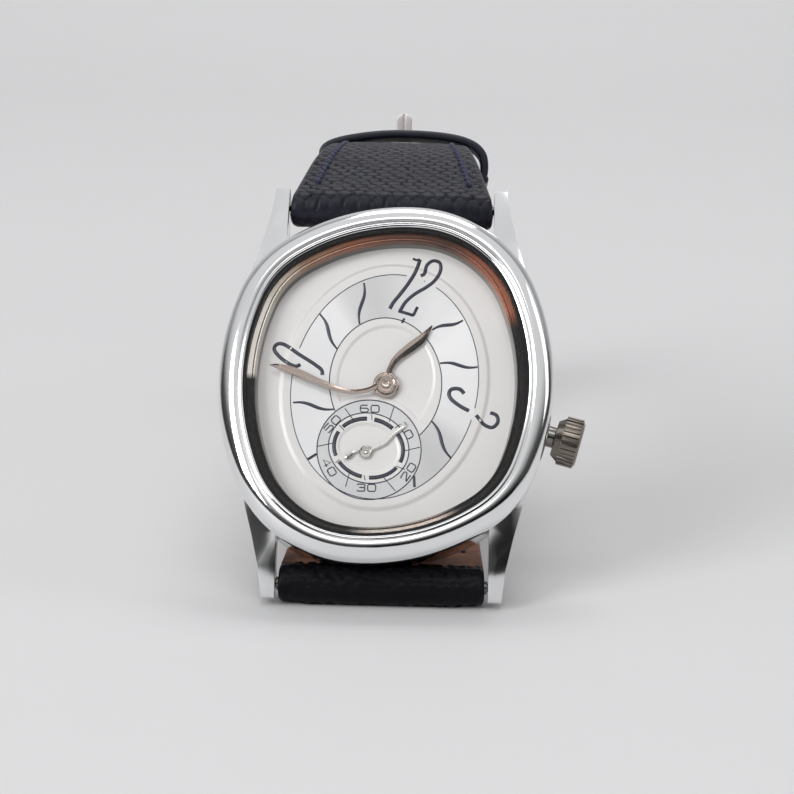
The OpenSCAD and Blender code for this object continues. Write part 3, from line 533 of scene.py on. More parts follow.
crest = bezier((0, 1.62), (0, 2.55), (-0.95, 3.42), (-1.95, 3.56), 18)
lip = rounded(
    [(-1.95, 3.56), (-2.22, 3.5), (-2.3, 3.2), (-2.42, 3.22), (-2.62, 3.3), (-2.86, 3.2), (-WALL, 2.9),
     (-WALL, LEDGE_Z), (-LEDGE, LEDGE_Z), (-LEDGE, 1.25), (-0.12, 1.25), (0, 1.35)],
    [0, 0.12, 0.06, 0.06, 0.1, 0.08, 0.03, 0.03, 0.03, 0.03, 0.05, 0.05],
)
bag = Bag()
profile = crest[:-1] + lip
bag.loft(oval_ring(profile), closed=True)
first = next(i for i, p in enumerate(profile) if abs(p[0] + WALL) < 0.01 and p[1] < 2.95)
last = next(i for i, p in enumerate(profile) if p[0] < -LEDGE + 0.02)
# the wall and ledge faces take the painted reflections
inside = [1 if first <= f % len(profile) <= last else 0 for f in range(len(bag.faces))]
bag.build("bezel_polished", [polished, wall_painted_reflections], "case", FACE, ["bezel"], inside)

bag = Bag()
wall = rounded(
    [(DIAL_OFF, 0.02), (DIAL_OFF, LEDGE_Z), (DIAL_OFF - 0.18, LEDGE_Z), (DIAL_OFF - 0.25, 1.9), (DIAL_OFF - 0.36, 0.9),
     (DIAL_OFF - 0.5, 0.02)], [0, 0.02, 0.06, 0.05, 0.1, 0.02])
bag.loft(oval_ring(wall), closed=True)
# faces above 1 mm take the painted reflections
low = [1 if wall[f % len(wall)][1] > 1.0 else 0 for f in range(len(bag.faces))]
bag.build("rehaut_polished", [dark_steel, wall_painted_reflections], "case", FACE, ["rehaut_ring"], low)

# dial: tilted ellipses as centre x, y, half sizes and tilt, in the face's axes
TRACK = (-0.19, 0.03, 10.59, 13.3, -10.2)
INNER = (-0.09, 0.38, 6.4, 7.67, 3.3)
RECESS = (-0.06, 0.66, 5.6, 6.55, -9)
SUB_LINES = {
    "outer": (-1.75, -7.5, 5.9, 5.77, -10.4),
    "middle": (-1.79, -7.32, 4.59, 4.05, -15),
    "dash_out": (-1.8, -7.32, 4.17, 3.62, -15),
    "dash_in": (-1.8, -7.34, 3.74, 3.14, -15),
    "disc": (-1.79, -7.36, 3.5, 2.86, -15),
}


def oval_gap(shape, x, y):
    """About how far a place in the face's axes lies outside a tilted ellipse."""
    cx, cy, a, b, tilt = shape
    u, v = rotated(x - cx, y - cy, -tilt)
    k = math.hypot(u / a, v / b)
    return math.hypot(x - cx, y - cy) * (1 - 1 / k) if k > 1e-6 else -min(a, b)


RISE = 0.16


def dial_height(x, y):
    """Height of the dial's face."""
    sub = oval_gap(SUB_LINES["outer"], x, y)
    edge = min(oval_gap(TRACK, x, y) - 1.0, sub - 0.9)
    z = RISE * (1 - smoothstep(-0.12, 0.42, edge))
    hole = 1 - smoothstep(-0.3, 0.06, oval_gap(RECESS, x, y))
    z -= 0.12 * hole * smoothstep(0.45, 0.75, sub)
    z -= 0.12 * (1 - smoothstep(-0.2, 0.06, oval_gap(SUB_LINES["disc"], x, y)))
    return z


def dial_region(x, y):
    """0 satin white, 1 brushed rays, 2 grey ring."""
    if oval_gap(SUB_LINES["outer"], x, y) < 0:
        return 2 if oval_gap(SUB_LINES["middle"], x, y) > 0 else 0
    if oval_gap(TRACK, x, y) < 0 and oval_gap(INNER, x, y) > 0:
        return 1
    return 0


def build_dial():
    step, reach = 0.11, 18.4
    n = int(reach / step)
    index, verts, faces, which = {}, [], [], []
    for j in range(-n, n + 1):
        for i in range(-n, n + 1):
            x, y = i * step, j * step
            if outline_gap(x, y) < DIAL_OFF - 0.2:
                index[i, j] = len(verts)
                verts.append((x, y, dial_height(x, y)))
    for i, j in index:
        quad = [(i, j), (i + 1, j), (i + 1, j + 1), (i, j + 1)]
        if all(q in index for q in quad):
            faces.append(tuple(index[q] for q in quad))
            which.append(dial_region((i + 0.5) * step, (j + 0.5) * step))
    count = 160
    low = [(*oval(k * 360 / count, DIAL_OFF - 0.02), -0.4) for k in range(count)]
    high = [(*oval(k * 360 / count, DIAL_OFF - 0.02), -0.01) for k in range(count)]
    bag = Bag()
    bag.verts, bag.faces = verts, faces
    bag.loft([low, high])
    which += [0] * (len(faces) - len(which))
    looks = [dial_white, dial_rays_painted_sheen, dial_grey]
    bag.build("dial_face", looks, "case", FACE, ["dial"], which)


build_dial()


def ribbon(bag, points, width, closed=False, lift=0.014):
    """A printed line that follows the dial: width is one number, or one for each point."""
    rings = []
    for i, p in enumerate(points):
        nx, ny = normal_at(points, i, closed)
        w = (width[i] if isinstance(width, (list, tuple)) else width) / 2
        ring = []
        for side, drop in ((-1, -0.05), (-1, lift), (1, lift), (1, -0.05)):
            x, y = p[0] + side * nx * w, p[1] + side * ny * w
            ring.append((x, y, dial_height(x, y) + drop))
        rings.append(ring)
    bag.loft(rings, closed=closed)


def oval_point(shape, angle):
    """The point of a tilted ellipse at an angle of its own."""
    cx, cy, a, b, tilt = shape
    u, v = rotated(a * cos(angle), b * sin(angle), tilt)
    return cx + u, cy + v


def oval_line(shape, count):
    return [oval_point(shape, 360 * k / count) for k in range(count)]


def cut_line(points, keep):
    """Runs of a closed line for which keep(x, y) holds."""
    runs, run = [], []
    n = len(points)
    first = next((i for i in range(n) if not keep(*points[i])), 0)
    for k in range(n + 1):
        p = points[(first + k) % n]
        if keep(*p) and k < n:
            run.append(p)
        elif run:
            if len(run) > 1:
                runs.append(run)
            run = []
    return runs


# the ends of each hour mark
HOUR_MARKS = [
    ((5.09, 6.73), (8.58, 7.95)), ((6.05, 2.77), (10.36, 2.44)), ((5.22, -3.99), (7.53, -8.28)),
    ((3.41, -10.41), (3.5, -11.73)), ((-7.67, -8.14), (-8.62, -8.78)), ((-5.85, -2.89), (-10.56, -2.21)),
    ((-5.73, 4.22), (-7.85, 8.33)), ((-3.26, 7.23), (-2.9, 12.18)),
]
# the 9, the two halves of the 3, the 1 and the 2: points and line width
NUMERALS = [
    ([(-7.33, 1.1), (-7.44, 1.69), (-8.3, 2.39), (-10.27, 3.62), (-11.71, 4.61), (-12.59, 4.71), (-12.96, 4.11),
      (-12.4, 3.3), (-11.32, 2.44), (-10.39, 2.08), (-9.87, 2.31)], 0.42),
    ([(8.89, -0.73), (8.36, -0.22), (7.53, -0.22), (7.17, -0.7), (7.43, -1.41), (8.44, -2.2),
      (9.48, -2.74)], 0.44),
    ([(10.29, -3.23), (11.17, -4.24), (12.13, -4.58), (12.75, -3.98), (12.61, -3.18),
      (11.89, -2.86)], 0.42),
    ([(3.49, 15.2), (3.02, 13.69), (2.21, 12.22), (1.28, 10.88), (0.58, 9.95), (0.16, 9.14)], 0.42),
    ([(3.6, 13.19), (4.04, 13.45), (4.28, 14.48), (4.97, 15.05), (5.75, 14.85), (5.88, 13.91), (5.29, 12.7),
      (4.29, 11.82), (3.01, 10.99), (1.96, 10.0), (1.33, 8.89)], 0.4),
]
FEET = [([(2.65, 15.28), (3.07, 15.1), (3.49, 15.2)], 0.3), ([(1.15, 8.91), (2.92, 8.4)], 0.36),
        ([(2.86, 8.37), (3.34, 9.44)], 0.34), ([(1.88, 8.03), (1.59, 7.48)], 0.26)]
SEPARATORS = [((-4.63, -2.76), (-3.64, -4.08)), ((0.95, -2.45), (0.45, -4.21)), ((4.0, -7.1), (2.28, -7.56)),
              ((1.36, -12.22), (-0.02, -10.67)), ((-4.26, -11.87), (-3.88, -10.2)), ((-7.7, -7.29), (-5.89, -6.85))]
TEN_TICKS = [((-1.57, -3.41), (-1.51, -4.08)), ((1.1, -4.95), (1.75, -4.45)), ((2.37, -9.73), (1.35, -9.35)),
             ((-2.23, -10.5), (-2.08, -11.07)), ((-5.51, -9.13), (-5.05, -8.74)), ((-5.18, -4.74), (-4.62, -5.35))]


def build_prints():
    bag = Bag()
    numerals = [p for line, width in NUMERALS for p in smooth_path(line, 3)]
    outer = SUB_LINES["outer"]

    def clear(x, y):
        return oval_gap(outer, x, y) > -0.2 and all((x - q[0]) ** 2 + (y - q[1]) ** 2 > 0.4 for q in numerals)

    for run in cut_line(oval_line(TRACK, 420), clear):
        ribbon(bag, run, 0.1)
    for run in cut_line(oval_line(INNER, 300), lambda x, y: oval_gap(outer, x, y) > 0):
        ribbon(bag, run, 0.12)
    for name, count in (("outer", 160), ("middle", 140)):
        ribbon(bag, oval_line(SUB_LINES[name], count), 0.13, True)
    for a, b in HOUR_MARKS:
        steps = 16
        dx, dy = b[0] - a[0], b[1] - a[1]
        size = math.hypot(dx, dy)
        bend = 0.04 * size if size > 2 else 0.0
        line, widths = [], []
        for k in range(steps + 1):
            t = k / steps
            wave = bend * math.sin(2 * math.pi * t)
            line.append((a[0] + dx * t - dy / size * wave, a[1] + dy * t + dx / size * wave))
            widths.append(0.2 + 0.2 * math.sin(math.pi * t) ** 1.5 if size > 2 else 0.3)
        ribbon(bag, line, widths)
    strokes = [(smooth_path(line, 7), width) for line, width in NUMERALS]
    strokes += FEET + [(ends, 0.1) for ends in SEPARATORS] + [(ends, 0.09) for ends in TEN_TICKS]
    for line, width in strokes:
        ribbon(bag, line, width)
    tick_angles = sorted(
        math.degrees(math.atan2((a[1] + b[1]) / 2 + 7.33, (a[0] + b[0]) / 2 + 1.8)) % 360 for a, b in TEN_TICKS
    )
    for k, angle in enumerate(tick_angles):
        end = tick_angles[(k + 1) % 6] + (360 if k == 5 else 0)
        run, widths = [], []
        for step in range(27):
            t = angle + 6 + (end - angle - 12) * step / 26 + 15
            p, q = oval_point(SUB_LINES["dash_out"], t), oval_point(SUB_LINES["dash_in"], t)
            run.append(((p[0] + q[0]) / 2, (p[1] + q[1]) / 2))
            widths.append(math.dist(p, q))
        ribbon(bag, run, widths)
    digits = {
        "0": [[(0.12, 0), (0.88, 0), (1, 0.2), (1, 0.8), (0.88, 1), (0.12, 1), (0, 0.8), (0, 0.2), (0.12, 0)]],
        "1": [[(0.2, 0.8), (0.6, 1), (0.6, 0)]],
        "2": [[(0, 0.85), (0.15, 1), (0.85, 1), (1, 0.85), (1, 0.6), (0.1, 0.12), (0, 0), (1, 0)]],
        "3": [[(0, 0.88), (0.15, 1), (0.88, 1), (1, 0.86), (1, 0.62), (0.86, 0.52), (0.3, 0.52)],
              [(0.86, 0.52), (1, 0.4), (1, 0.14), (0.88, 0), (0.12, 0), (0, 0.14)]],
        "4": [[(0.78, 0), (0.78, 1), (0, 0.28), (1, 0.28)]],
        "5": [[(1, 1), (0.05, 1), (0, 0.58), (0.85, 0.58), (1, 0.44), (1, 0.14), (0.86, 0), (0.12, 0), (0, 0.12)]],
        "6": [[(0.9, 1), (0.16, 1), (0, 0.8), (0, 0.18), (0.14, 0), (0.86, 0), (1, 0.16), (1, 0.42), (0.86, 0.56),
               (0, 0.56)]],
    }
    places = (("60", -1.81, -2.74, 0), ("10", 2.39, -5.11, -60), ("20", 2.77, -10.01, 58), ("30", -1.93, -11.92, 0),
              ("40", -6.19, -9.63, -58), ("50", -6.01, -4.62, 50))
    for word, x, y, angle in places:
        for k, digit in enumerate(word):
            for stroke in digits[digit]:
                line = []
                for u, v in stroke:
                    lx, ly = rotated((u - 0.5) * 0.9 + (k - 0.5) * 1.22, (v - 0.5) * 0.8, angle)
                    line.append((x + lx, y + ly))
                ribbon(bag, line, 0.14)
    bag.build("dial_print", enamel, "case", FACE)


build_prints()


# hands
def hand_blade(bag, points, widths, z, ridge, under=0.07, steps=9):
    """A curved blade with a ridge along its middle."""
    path = smooth_path([(*p, w) for p, w in zip(points, widths)], steps)
    rings = []
    for i, (x, y, w) in enumerate(path):
        nx, ny = normal_at(path, i)
        h = w / 2
        section = ((1, 0), (0.93, 0.045), (0, ridge * min(1, w / 0.5)), (-0.93, 0.045), (-1, 0), (-0.7, -under),
                   (0.7, -under))
        rings.append([(x + nx * h * across, y + ny * h * across, z + up) for across, up in section])
    bag.loft(rings)


def turned(bag, centre, outline, radii, count=48):
    """A turned piece about the face's axis, from a closed outline of radius and height, its corners rounded."""
    profile = rounded(outline, radii)
    rings = []
    for k in range(count):
        t = 360 * k / count
        rings.append([(centre[0] + r * cos(t), centre[1] + r * sin(t), z) for r, z in profile])
    bag.loft(rings, closed=True)


SUB_AT = dial_xy(0, -8.1)


def build_hands():
    bag = Bag()
    hand_blade(
        bag, [(0.05, 0.9), (0.22, 1.4), (0.42, 2.0), (0.9, 2.9), (1.8, 3.8), (2.95, 4.75), (4.05, 5.7), (5.15, 7.25)],
        [0.62, 0.62, 0.66, 0.8, 1.0, 1.14, 0.95, 0.06], 0.55, 0.26)
    turned(bag, (0, 0), [(0.5, 0.42), (1.5, 0.42), (1.5, 0.64), (1.34, 0.74), (0.5, 0.74)], [0, 0.05, 0.06, 0.06, 0])
    bag.build("hour_hand_blade", rose, "hour", FACE, ["hour_hand"], crease=24)
    bag = Bag()
    hand_blade(
        bag, [(-0.8, -0.12), (-2.05, -0.75), (-3.74, -1.03), (-5.71, -0.65), (-7.91, 0.18), (-10.12, 1.12),
              (-12.1, 1.74), (-13.4, 1.95)],
        [0.6, 0.56, 0.6, 0.68, 0.8, 0.9, 0.72, 0.05], 1.05, 0.24)
    turned(bag, (0, 0), [(0.55, 0.92), (1.16, 0.92), (1.16, 1.12), (1.0, 1.26), (0.84, 1.16), (0.55, 1.16)],
           [0, 0.04, 0.06, 0.08, 0.06, 0])
    turned(
        bag, (0, 0), [(0.001, 0.92), (0.55, 0.92), (0.55, 1.34), (0.42, 1.44), (0.26, 1.42), (0.2, 1.34),
                      (0.001, 1.34)],
        [0, 0, 0.06, 0.06, 0.04, 0.03, 0])
    bag.build("minute_hand_blade", rose, "minute", FACE, ["minute_hand"], crease=24)
    bag = Bag()
    sx, sy = SUB_AT
    hand_blade(
        bag, [(sx + 0.5, sy + 0.15), (-0.76, -7.25), (0.09, -6.8), (0.94, -5.85), (1.89, -5.05), (2.5, -4.5)],
        [0.32, 0.28, 0.3, 0.36, 0.4, 0.05], 0.36, 0.1, 0.05)
    hand_blade(
        bag, [(sx - 0.4, sy + 0.05), (-2.7, -7.6), (-3.34, -7.85), (-3.87, -8.2), (-4.15, -8.45), (-4.45, -8.7)],
        [0.28, 0.24, 0.26, 0.6, 0.6, 0.05], 0.36, 0.12, 0.05)
    turned(bag, SUB_AT, [(0.25, 0.26), (0.74, 0.26), (0.74, 0.44), (0.62, 0.54), (0.5, 0.46), (0.25, 0.46)],
           [0, 0.03, 0.05, 0.05, 0.04, 0], 36)
    turned(bag, SUB_AT, [(0.001, 0.26), (0.27, 0.26), (0.27, 0.56), (0.18, 0.64), (0.001, 0.6)],
           [0, 0, 0.04, 0.04, 0], 24)
    bag.build("seconds_hand_blade", silver, "seconds", FACE, ["seconds_hand"], crease=24)


build_hands()


# straps: a middle line as places y, z by the length s from the spring bar, with slope, thickness and width
UPPER = (-7.9443, 41.9019)
LOWER = (-28.7, 2.2)
RISE_A, DROP_A, CREST_R, RISE_L, DROP_L = 11, 20, 60, 10, 18
CREST_L = CREST_R * math.radians(RISE_A + DROP_A)
SHORT_L = RISE_L + CREST_L + DROP_L
FLAT_L, TAIL_R, TAIL_A, TAIL_L = 57.4, 48, 45, 15
TAIL_ARC = TAIL_R * math.radians(TAIL_A)
LONG_L = FLAT_L + TAIL_ARC + TAIL_L
STRAP_T, TAIL_T, STRAP_W, BUCKLE_W, TAIL_W = 4.4, 2.3, 23.4, 18, 16.5
STITCH_INSET = 2.2
ROLL_R, END_LOOP_R = STRAP_T / 2, 1.4


def short_slope(s):
    if s < RISE_L:
        return RISE_A
    return RISE_A - math.degrees((s - RISE_L) / CREST_R) if s < RISE_L + CREST_L else -DROP_A


def short_at(s):
    a = short_slope(s)
    m, e = min(s, RISE_L), max(s - RISE_L - CREST_L, 0)
    return (
        UPPER[0] + m * cos(RISE_A) + CREST_R * (sin(RISE_A) - sin(a)) + e * cos(DROP_A),
        UPPER[1] + m * sin(RISE_A) + CREST_R * (cos(a) - cos(RISE_A)) - e * sin(DROP_A),
    )


BUCKLE = short_at(SHORT_L)


def short_t(s):
    return STRAP_T + (TAIL_T - STRAP_T) * max(0, min(SHORT_L, s)) / SHORT_L


def short_w(s):
    """The short strap narrows over its crest and is then nearly even."""
    return BUCKLE_W - 0.1 + 0.225 * 2.5 * math.log(1 + math.exp((23.6 - s) / 2.5))


def long_slope(s):
    if s < FLAT_L:
        return 0
    return math.degrees((s - FLAT_L) / TAIL_R) if s < FLAT_L + TAIL_ARC else TAIL_A


def long_t(s):
    return STRAP_T + (TAIL_T - STRAP_T) * max(0, min(LONG_L, s)) / LONG_L


def long_at(s):
    """A place on the long strap's middle line."""
    a = long_slope(s)
    m, e = min(s, FLAT_L), max(s - FLAT_L - TAIL_ARC, 0)
    h = long_t(s) / 2
    return (
        LOWER[0] + m + TAIL_R * sin(a) + e * cos(TAIL_A) - h * sin(a),
        TAIL_R * (1 - cos(a)) + e * sin(TAIL_A) + h * cos(a),
    )


def long_w(s):
    end = LOWER[0] + FLAT_L + TAIL_R * sin(TAIL_A) + TAIL_L * cos(TAIL_A) - TAIL_W / 2 * cos(TAIL_A)
    k = (long_at(s)[0] - LOWER[0] + STRAP_T) / (end - LOWER[0] + STRAP_T)
    w = STRAP_W + (TAIL_W - STRAP_W) * min(1, k)
    tip = s - (LONG_L - TAIL_W / 2)
    if tip > 0:
        w = min(w, 2 * math.sqrt(max(0.01, (TAIL_W / 2) ** 2 - tip * tip)))
    return w


def lifted(at, slope, s, x, h):
    """A place beside and above a strap's middle line."""
    y, z = at(s)
    a = slope(s)
    return x, y - h * sin(a), z + h * cos(a)


SCALE_W, SCALE_L = 1.6, 1.15


def cells(u, v, seed):
    """Height of the scaled skin at a place: 0 in the creases and 1 on the scales, which lie in loose rows."""
    row = math.floor(v / SCALE_L)
    near = []
    for j in (row - 1, row, row + 1):
        shift = 0.5 * (j % 2)
        column = math.floor(u / SCALE_W - shift)
        for i in (column - 1, column, column + 1, column + 2):
            h = math.sin(i * 12.9898 + j * 78.233 + seed * 37.719) * 43758.5453
            g = math.sin(i * 39.346 + j * 11.135 + seed * 83.155) * 24634.6345
            x = (i + shift + 0.3 * (h - math.floor(h) - 0.5)) * SCALE_W
            y = (j + 0.5 + 0.34 * (g - math.floor(g) - 0.5)) * SCALE_L
            near.append(math.hypot(u - x, (v - y) * 1.25))
    near.sort()
    return smoothstep(0.0, 0.3, near[1] - near[0])


def quarter(x, h, r, turn):
    """The inner points of a rounded corner, from a direction on."""
    return [(x + r * sin(turn + 18 * k), h + r * cos(turn + 18 * k)) for k in range(1, 5)]


def strap_rings(stations, at, slope, half, width, outer, seed, pitch, crown=0.42, grain=0.32):
    """Cross-sections of a strap. outer is 1 where its leather faces up and -1 where it faces down."""
    rings = []
    for s in stations:
        t = half(s)
        w = width(s) / 2
        r = min(0.55, 0.84 * t, 0.3 * w)
        m = max(8, int(round(STRAP_W / pitch)))
        full = min(1, t)

        def scales(x, v):
            return (cells(x, v, seed) - 0.75) * grain * smoothstep(0.15, 0.8, w - abs(x)) if t > 0.2 else 0

        ring = []
        for k in range(m + 1):
            x = -(w - r) + 2 * (w - r) * k / m
            from_edge = w - abs(x)
            h = t - crown * 0.5 * (1 - smoothstep(0.9, 3.6, from_edge)) * full
            h -= math.exp(-((from_edge - STITCH_INSET) / 0.4) ** 2) * 0.12 * full
            ring.append((x, h + scales(x, s)))
        shoulder = t - crown * 0.5 * full - r
        ring += quarter(w - r, shoulder, r, 0) + quarter(w - r, r - t, r, 90)
        for k in range(m + 1):
            x = (w - r) - 2 * (w - r) * k / m
            ring.append((x, -t - scales(x, -s - 3)))
        ring += quarter(-(w - r), r - t, r, 180) + quarter(-(w - r), shoulder, r, 270)
        rings.append([lifted(at, slope, s, x, outer * h) for x, h in ring])
    return rings


def roll_stations(length, nose, tail, step):
    out = [-nose * cos(5 + 85 * k / 22) for k in range(22)]
    n = int(length / step)
    out += [length * k / n for k in range(n + 1)]
    out += [length + tail * sin(90 * k / 8) for k in range(1, 8)]
    return out


def short_half(s):
    if s < 0:
        return math.sqrt(max(0.02, ROLL_R ** 2 - s * s))
    near = END_LOOP_R ** 2 - (s - SHORT_L) ** 2
    return max(short_t(s) / 2 if s <= SHORT_L else 0, math.sqrt(near) if near > 0 else 0, 0.1)


def straight(at, slope, s, length):
    """at, carried on straight beyond both ends of the strap."""
    k = max(0, min(length, s))
    y, z = at(k)
    a = slope(k)
    return y + (s - k) * cos(a), z + (s - k) * sin(a)


def cutter(name, verts, faces):
    """A solid to cut with."""
    mesh = new_mesh(name, verts, faces)
    bm = bmesh.new()
    bm.from_mesh(mesh)
    bmesh.ops.recalc_face_normals(bm, faces=bm.faces)
    bm.to_mesh(mesh)
    bm.free()
    return new_object(name, mesh)


BOX_FACES = ((0, 1, 3, 2), (4, 6, 7, 5), (0, 4, 5, 1), (2, 3, 7, 6), (0, 2, 6, 4), (1, 5, 7, 3))


def cut_away(obj, tool):
    """Cuts a solid out of a piece for good, and removes the solid."""
    mod = obj.modifiers.new("cut", "BOOLEAN")
    mod.operation = "DIFFERENCE"
    mod.solver = "EXACT"
    mod.object = tool
    bpy.context.view_layer.update()
    graph = bpy.context.evaluated_depsgraph_get()
    result = bpy.data.meshes.new_from_object(obj.evaluated_get(graph))
    obj.modifiers.clear()
    obj.data = result
    bpy.data.objects.remove(tool)


def lining_ring(at, slope, s, w, t, end, face):
    """A cross-section of a lining that lies on one face of a strap; end thins it towards its ends."""
    low, high = face * (t - 0.5), face * (t + 0.12 * end)
    outline = [(-w, low), (-w, high), (w, high), (w, low)]
    return [lifted(at, slope, s, x, h) for x, h in rounded(outline, 0.3 * end + 0.02)]


def build_short_strap():
    bag = Bag()
    bag.loft(strap_rings(
        roll_stations(SHORT_L, ROLL_R, END_LOOP_R, 0.21), lambda s: straight(short_at, short_slope, s, SHORT_L),
        short_slope, short_half, lambda s: short_w(max(-ROLL_R, min(SHORT_L + END_LOOP_R, s))), 1, 3.1, 0.22))
    obj = bag.build("short_strap_skin", leather, "short_strap",
                    replaces=["short_strap_leather"], crease=60)
    y, z = BUCKLE
    corners = [(sx * 1.7, y + dy, z + dz) for sx in (-1, 1) for dy in (-3.6, 4) for dz in (-5, 5)]
    cut_away(obj, cutter("slot_cutter", corners, BOX_FACES))
    start, stop, count = 3.2, 56.5, 150
    rings = []
    for k in range(count + 1):
        s = start + (stop - start) * k / count
        end = min(1, min(s - start, stop - s) / 0.5 + 0.25)
        rings.append(lining_ring(short_at, short_slope, s, short_w(s) / 2 - 0.12, short_t(s) / 2, end, -1))
    bag = Bag()
    bag.loft(rings)
    obj = bag.build("short_strap_suede", suede, "short_strap",
                    replaces=["short_strap_lining"], crease=50)


build_short_strap()


def strap_holes():
    """A solid of seven round pegs through the long strap."""
    first, step, r = 24, 6.5, 0.95
    holes = Bag()
    for i in range(7):
        s = LONG_L - first - step * i
        y, z = long_at(s)
        a = long_slope(s)
        holes.loft([
            [(r * cos(15 * k), y + r * sin(15 * k) * cos(a) - h * sin(a), z + r * sin(15 * k) * sin(a) + h * cos(a))
             for k in range(24)]
            for h in (-4, 4)
        ])
    return cutter("hole_cutter", holes.verts, holes.faces)


def build_long_strap():
    tip = LONG_L - TAIL_W / 2
    stations = [s for s in roll_stations(LONG_L - 0.05, ROLL_R, 0.05, 0.4) if s <= tip]
    stations += [tip + TAIL_W / 2 * sin(86 * k / 16) for k in range(1, 17)]

    def half(s):
        return math.sqrt(max(0.02, ROLL_R ** 2 - s * s)) if s < 0 else long_t(s) / 2

    def at(s):
        y, z = long_at(max(0, s))
        return y + min(0, s), z

    bag = Bag()
    bag.loft(strap_rings(
        stations, at, long_slope, half, lambda s: long_w(max(-ROLL_R, s)), -1, 8.7, 0.4))
    skin = bag.build("long_strap_skin", leather_painted_shade, "long_strap",
                     replaces=["long_strap_leather"], crease=60)
    start, stop, count = 1.0, LONG_L - 0.35, 220
    rings = []
    for k in range(count + 1):
        s = start + (stop - start) * (1 - (1 - k / count) ** 1.35)
        end = min(1, (s - start) / 0.5 + 0.25)
        w = max(0.15, long_w(s + 0.12) / 2 - 0.12)
        rings.append(lining_ring(long_at, long_slope, s, w, long_t(s) / 2, end, 1))
    bag = Bag()
    bag.loft(rings)
    lining = bag.build("long_strap_suede", suede, "long_strap",
                       replaces=["long_strap_lining"], crease=50)
    for obj in (skin, lining):
        cut_away(obj, strap_holes())


build_long_strap()


def stitch_row(bag, spots):
    """Short thread runs from place to place: each spot is a point with its way up."""
    for (a, up), (b, _) in zip(spots[::2], spots[1::2]):
        a, b, up = Vector(a), Vector(b), Vector(up)
        along = (b - a).normalized()
        side = along.cross(up).normalized()
        rings = []
        for k in range(9):
            t = k / 8
            bulge = math.sin(math.pi * t)
            centre = a.lerp(b, t) + up * (0.16 * bulge ** 0.7 - 0.08)
            r = 0.36 * (0.5 + 0.5 * bulge ** 0.5)
            rings.append([tuple(centre + side * r * cos(45 * j) + up * r * 0.8 * sin(45 * j)) for j in range(8)])
        bag.loft(rings)


def strap_spots(start, stop, at, slope, thick, wide, side, face, lift):
    """Where the thread enters and leaves along one edge of a strap's face."""
    spots = []
    s = start
    while s < stop:
        for step, slant in ((0, 0.14), (1.55, -0.14)):
            q = s + step
            x = side * (wide(q) / 2 - STITCH_INSET) + slant
            spots.append((
                lifted(at, slope, q, x, face * (thick(q) / 2 + lift)),
                (0, -face * sin(slope(q)), face * cos(slope(q))),
            ))
        s += 1.5
    return spots


def build_stitches():
    bag = Bag()
    for side in (-1, 1):
        stitch_row(bag, strap_spots(3.1, SHORT_L - 12, short_at, short_slope, short_t, short_w, side, 1, -0.12))
    bag.build("short_strap_stitches", thread, "short_strap")
    bag = Bag()
    for face, lift in ((-1, -0.12), (1, 0.05)):
        for side in (-1, 1):
            stitch_row(bag, strap_spots(6.0, LONG_L - 10, long_at, long_slope, long_t, long_w, side, face, lift))
    bag.build("long_strap_stitches", thread, "long_strap")


build_stitches()


def build_keeper(name, body, s, loop, node, thick=0.9):
    """A leather loop round the strap: a strip with rounded edges along a closed line of side and height."""
    y0, z0 = short_at(s)
    a = short_slope(s)
    path = smooth_path(loop, 10, closed=True)
    rings = []
    half_l = 2.7
    strip = rounded(
        [(-half_l, -thick / 2), (half_l, -thick / 2), (half_l, thick / 2), (-half_l, thick / 2)], 0.36, 4)
    for i, (x, h) in enumerate(path):
        nx, nh = normal_at(path, i, True)
        ring = []
        for along, out in strip:
            out += 0.06 * (1 - (along / half_l) ** 2) * (1 if out > 0 else 0)
            xx, hh = x - nx * out, h - nh * out
            ring.append((xx, y0 + along * cos(a) - hh * sin(a), z0 + along * sin(a) + hh * cos(a)))
        rings.append(ring)
    bag = Bag()
    bag.loft(rings, closed=True)
    return bag.build(name, smooth_leather, body, replaces=[node], crease=60)


FIXED_W = short_w(52) / 2 + 0.75
build_keeper("fixed_keeper_loop", "short_strap", 52, [
    (-FIXED_W + 0.7, -1.85), (0, -1.9), (FIXED_W - 0.7, -1.85), (FIXED_W, -1.1), (FIXED_W, 0.9), (FIXED_W - 0.7, 2.0),
    (FIXED_W - 3, 2.6), (0, 2.8), (-FIXED_W + 3, 2.6), (-FIXED_W + 0.7, 2.0), (-FIXED_W, 0.9), (-FIXED_W, -1.1)],
    "fixed_keeper")
build_keeper("free_keeper_loop", "free_keeper", 37, [
    (-9.4, -2.85), (0, -3.0), (10.2, -2.9), (11.05, -2.1), (11.15, -0.4), (10.75, 0.9), (9.5, 2.0), (7.2, 2.75),
    (3.5, 3.15), (-1, 3.2), (-4.6, 2.85), (-7.9, 2.2), (-9.75, 1.35), (-10.2, 0.2), (-10.2, -1.9)], "free_keeper", 1.0)


def build_tongue():
    """A flat tongue with a groove along it, standing on its eye."""
    bag = Bag()
    y, z = BUCKLE
    root, tip, half_w = 0.9, 11.55, 1.12
    rings = []
    for k in range(33):
        h = root + (tip - root) * (1 - (1 - k / 32) ** 1.8)
        w = half_w * math.sqrt(max(0.002, 1 - max(0, (h - tip + 0.9) / 0.9) ** 2))
        d = 0.34 + 0.2 * w / half_w
        g = min(0.26, 0.4 * w)
        section = rounded([(-w, d), (w, d), (w, -d), (g, -d), (g * 0.7, -d + 0.22), (-g * 0.7, -d + 0.22), (-g, -d),
                           (-w, -d)], [0.2, 0.2, 0.16, 0.05, 0.05, 0.05, 0.05, 0.16])
        rings.append([(u, y + v, z + h) for u, v in section])
    bag.loft(rings)
    eye = rounded([(-0.95, 0.76), (0.95, 0.76), (0.95, 1.4), (-0.95, 1.4)], 0.12)
    bag.loft([[(u, y + r * sin(10 * k), z + r * cos(10 * k)) for u, r in eye] for k in range(36)], closed=True)
    bag.build("buckle_tongue_flat", tongue_steel, "tongue",
              replaces=["buckle_tongue"], crease=40)


build_tongue()

